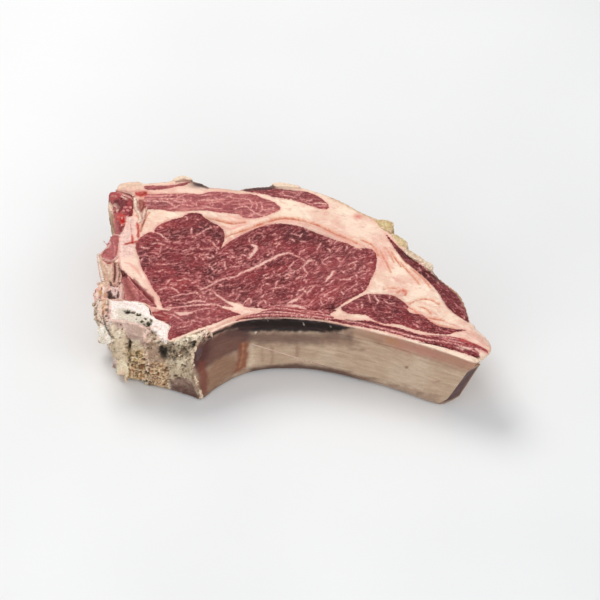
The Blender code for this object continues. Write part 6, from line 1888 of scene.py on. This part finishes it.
# ---- torn shreds and flakes ------------------------------------------------------------------
# threads and beads: picture positions with heights, radius at the start and at the end
SHREDS = [
    ([(98.4, 253.4, 49), (99.6, 262, 48.6), (101.2, 271, 48.4), (103.6, 279, 48.6)], 0.9, 1.3),
    ([(135, 198.6, 50), (135.4, 207, 50.3), (138.6, 213, 50.4), (141, 218.4, 50.1), (138.6, 223, 49.8)], 1.2, 1.4),
    ([(111.6, 236.6, 49.2), (115, 234.6, 49.5), (119.4, 235.6, 49.7)], 0.8, 0.8),
    ([(102.4, 240.2, 49.4), (104.8, 241, 49.4), (108, 244.6, 49.2)], 0.35, 0.5),
    ([(110.6, 240.6, 49), (108.8, 244.4, 49), (105.4, 249.4, 48.8), (100.4, 253.6, 48.6), (98.4, 255, 48.4)], 0.6, 1.0),
    ([(104, 257.4, 48.8), (108, 260.2, 49), (113, 260.6, 49.2), (118, 256.4, 49.6)], 0.8, 0.9),
    ([(105, 263, 48.2), (107.6, 268, 48), (109.4, 276, 47.8)], 0.7, 0.6),
    ([(112.8, 262, 48.6), (113.2, 272, 48), (112.8, 283, 48)], 0.5, 0.7),
    ([(118.2, 263, 48.8), (118.8, 272, 48.2), (118, 282, 48.2)], 0.7, 0.6),
    ([(121, 266, 49.4), (121.6, 275, 48.9), (120.8, 283, 48.8)], 0.7, 0.9),
    ([(101, 264, 48.4), (103.4, 272, 48), (106, 281, 48)], 0.6, 0.8),
    ([(112, 286.6, 49.2), (115, 288.6, 49.8), (117.6, 290.6, 49.8), (116.6, 294.6, 49.2)], 1.1, 1.1),
    ([(119.8, 285.4, 49.4), (122.6, 287, 49.9), (121.8, 293, 49.8), (121.6, 299, 49.5)], 1.2, 1.2),
    ([(119.4, 217.2, 49.6), (121.4, 219.8, 49.9), (123.6, 222.4, 49.8), (121.8, 225, 49.4)], 1.9, 1.5),
    ([(125.5, 207.6, 50), (125.7, 207.8, 50)], 1.1, 1.0), ([(128, 210.6, 50), (128.3, 210.8, 50)], 1.0, 1.0),
    ([(123.4, 211, 49.8), (123.6, 211.2, 49.8)], 0.9, 0.9), ([(130.6, 207.4, 50), (130.8, 207.6, 50)], 0.9, 0.9),
    ([(116, 204.6, 49), (119, 207, 49.2), (117.6, 210.4, 49)], 1.9, 1.6), ([(112.4, 195.6, 49), (115.6, 196.4, 49.2)], 1.8, 1.6),
    ([(121, 196, 49.4), (127, 199.4, 49.6)], 1.3, 1.3), ([(109.6, 202.4, 48.8), (110.4, 206.6, 48.9), (111.4, 210, 49)], 1.0, 1.0),
    ([(137.4, 224, 49.8), (138.5, 230, 49.9), (138.2, 236, 49.8)], 0.7, 0.9),
    ([(125.8, 243.7, 49.8), (131, 242.4, 50), (137, 241.4, 49.9)], 0.6, 0.8),
    ([(147, 207, 50), (145.6, 214, 50), (142.6, 224, 49.9)], 0.7, 0.6),
    ([(99.4, 281.6, 48.4), (99.7, 282, 48.4)], 1.5, 1.5), ([(103, 285.2, 48.8), (104, 287.6, 48.8)], 1.4, 1.2),
    ([(97.8, 288.4, 48.2), (98.4, 290.2, 48.2)], 1.6, 1.4), ([(101.8, 291.2, 48.4), (101.4, 294.4, 48.4)], 1.1, 1.1),
    ([(97, 294.2, 47.8), (96.6, 297.6, 47.4)], 1.3, 1.2), ([(104.6, 288, 48.8), (104.4, 293.4, 48.8)], 0.9, 0.9),
    ([(107, 292.8, 48.8), (106.6, 297.6, 48.6)], 1.0, 1.1), ([(108.4, 286.6, 49), (108.2, 287.4, 49)], 1.2, 1.1),
    ([(100.4, 297.4, 48.2), (103, 299, 48.4)], 1.2, 1.3), ([(95.4, 291.4, 47.4), (94.8, 292.4, 47.2)], 1.0, 0.9),
    ([(112, 299, 48.9), (118, 299.4, 49.2), (124, 299.8, 49.2)], 1.0, 1.0), ([(108.2, 298.6, 48.4), (109.2, 303, 48.2)], 1.1, 1.2),
    ([(116.8, 189.6, 49.4), (123, 191.2, 49.6), (130, 192.6, 49.8), (134, 196, 50)], 0.8, 0.9),
    ([(136.4, 192.6, 49.9), (141, 193.4, 50.1), (146, 191.8, 50)], 1.2, 0.9), ([(140, 201, 49.9), (142.4, 206, 50), (140, 211, 49.9)], 1.3, 1.0),
]
# thin flakes on the free edge: outline, lower and upper height
FLAKES = [
    ([(377, 221.4), (385, 220.4), (393.4, 223.4), (392.6, 227.6), (390.4, 231.8), (383, 229.6)], 48.9, 50.7),
    ([(391.2, 233), (397, 234.8), (405.6, 240.4), (407.2, 243.4), (406, 247.6), (399, 243.6), (393.4, 238.8)], 47.4, 49.6),
    ([(404, 246.6), (412, 250.6), (424, 258.6), (423, 261), (414, 257.8), (404.8, 251.4)], 46.6, 48.9),
    ([(424.4, 259.8), (431.8, 262.8), (432.6, 267), (428.8, 268), (424, 263.6)], 46.2, 48.8),
    ([(273, 183), (281, 182.2), (289, 183.6), (300, 186), (298, 187.6), (286, 186.4), (274, 186)], 48.4, 50.2),
    ([(173, 178.6), (181, 175.4), (189, 177), (193, 180), (186, 179.6), (176, 181)], 48.4, 50.2),
]


def torn_piece(name, node, base, threads, plates):
    bm = bmesh.new()
    rng = np.random.default_rng(len(threads) + 40)
    for line, r0, r1 in threads:
        line = np.array(line, float)
        run = np.concatenate([[0], np.cumsum(np.linalg.norm(np.diff(line, axis=0), axis=1))])
        steps = max(2, int(run[-1] / 0.7))
        for k in range(steps + 1):
            u, v, z = (np.interp(run[-1] * k / steps, run, line[:, c]) for c in range(3))
            r = (r0 + (r1 - r0) * k / steps) * rng.uniform(0.75, 1.2)
            x, y = at(u, v)
            made = bmesh.ops.create_icosphere(bm, subdivisions=2, radius=1.0)
            for q in made["verts"]:
                q.co = (x + q.co[0] * r, y + q.co[1] * r, z - 0.25 * r + q.co[2] * r * 0.95)
    for outline, z0, z1 in plates:
        ring = spaced(spline([at(*q) for q in outline], True), 0.9, True)
        ring = ring + outward(ring) * (0.35 * noise3(ring * 0.7, 51) + 0.2 * noise3(ring * 1.6, 52))[:, None]
        low = [bm.verts.new((q[0], q[1], z0)) for q in ring]
        high = [bm.verts.new((q[0], q[1], z1)) for q in ring]
        for k in range(len(ring)):
            j = (k + 1) % len(ring)
            bm.faces.new((low[k], low[j], high[j], high[k]))
        bm.faces.new(low[::-1])
        bm.faces.new(high)
    bmesh.ops.recalc_face_normals(bm, faces=bm.faces[:])
    xyz, normal, tris = fused(bm, 0.42)
    xyz = xyz + normal * (0.22 * noise3(xyz * 0.9, 53) + 0.14 * noise3(xyz * 2.1, 54))[:, None]
    p = end_coats(Paint(xyz, base))
    calm = ramp(-p.uv[:, 0], -330, -310) * ramp(p.uv[:, 0], 150, 165)
    data = {"paint": np.column_stack([p.rgb, np.ones(len(xyz))]), "painted": np.ones(len(xyz)), "rim": np.full(len(xyz), 6.0), "calm": calm}
    p.rgb = p.rgb * (1 - calm[:, None]) + linear((240, 208, 190)) * calm[:, None]
    for key in ("pale", "crease", "pink", "line"):
        data[key] = np.full(len(xyz), 6.0)
    piece = make(name, xyz, tris, data, MEAT[node][0], 60)
    print(name, len(tris), "triangles")
    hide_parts(node)


torn_piece("meat_shreds", "neck_end_meat", (232, 188, 172), SHREDS, [])
torn_piece("meat_flakes", "fat_body", (240, 214, 188), [], FLAKES)

# ---- floor, light, camera --------------------------------------------------------------------
scene = bpy.context.scene


def floor_material():
    g = Graph("floor")
    n = g.noise(g.place((0.004, 0.004, 0.004)), 1.0, 2.0, 0.5)
    colour = g.mix(g.map(n, 0.3, 0.7), (0.80, 0.795, 0.785), (0.84, 0.835, 0.825))
    return g.finish(colour, 0.6)


bpy.ops.mesh.primitive_plane_add(size=6.0, location=(0, 0, -0.0006))
floor = bpy.context.object
floor.name = "floor"
floor.data.materials.append(floor_material())
floor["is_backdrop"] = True

world = bpy.data.worlds.new("studio")
scene.world = world
world.use_nodes = True
world.node_tree.nodes["Background"].inputs[0].default_value = (0.93, 0.96, 1.0, 1)
world.node_tree.nodes["Background"].inputs[1].default_value = 0.55


def lamp(name, spot, aim, size, power, colour=(1, 1, 1)):
    data = bpy.data.lights.new(name, "AREA")
    data.shape = "RECTANGLE"
    data.size, data.size_y = size
    data.energy = power
    data.color = colour
    obj = bpy.data.objects.new(name, data)
    scene.collection.objects.link(obj)
    obj.location = spot
    obj.rotation_euler = (Vector(aim) - Vector(spot)).to_track_quat("-Z", "Y").to_euler()
    return obj


lamp("key", (-0.55, 0.75, 1.25), (0, 0, 0), (0.8, 0.8), 13.0, (1.0, 0.985, 0.965))
lamp("fill", (0.9, -0.9, 0.9), (0, 0, 0.01), (1.0, 1.0), 6.0, (0.97, 0.985, 1.0))
lamp("front", (-0.4, -1.2, 0.5), (0, 0, 0.02), (1.0, 0.6), 3.6)

ELEVATION = math.radians(46.0)
DISTANCE = 14.0
aim = Vector(((300 - U0) * STEP_X * 0.001, (V0 + LOWER - 300) * STEP_Y * 0.001, 0.0))
cam_data = bpy.data.cameras.new("camera")
cam_data.sensor_width = 36.0
cam_data.lens = 36.0 * DISTANCE / (0.6 * STEP_X)
cam_data.clip_start, cam_data.clip_end = 1.0, 60.0
camera = bpy.data.objects.new("camera", cam_data)
scene.collection.objects.link(camera)
camera.location = aim + Vector((0, -math.cos(ELEVATION), math.sin(ELEVATION))) * DISTANCE
camera.rotation_euler = (math.radians(90) - ELEVATION, 0, 0)
scene.camera = camera
scene.view_settings.view_transform = "Standard"
scene.view_settings.look = "None"

size_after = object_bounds()


def plain(x):
    if isinstance(x, dict):
        return {k: plain(v) for k, v in x.items()}
    if isinstance(x, (list, tuple)) or type(x).__name__ in ("Vector", "ndarray"):
        return [plain(v) for v in x]
    return float(x) if isinstance(x, (int, float, np.floating)) else x


{"cad": plain(size_before), "visual": plain(size_after)}
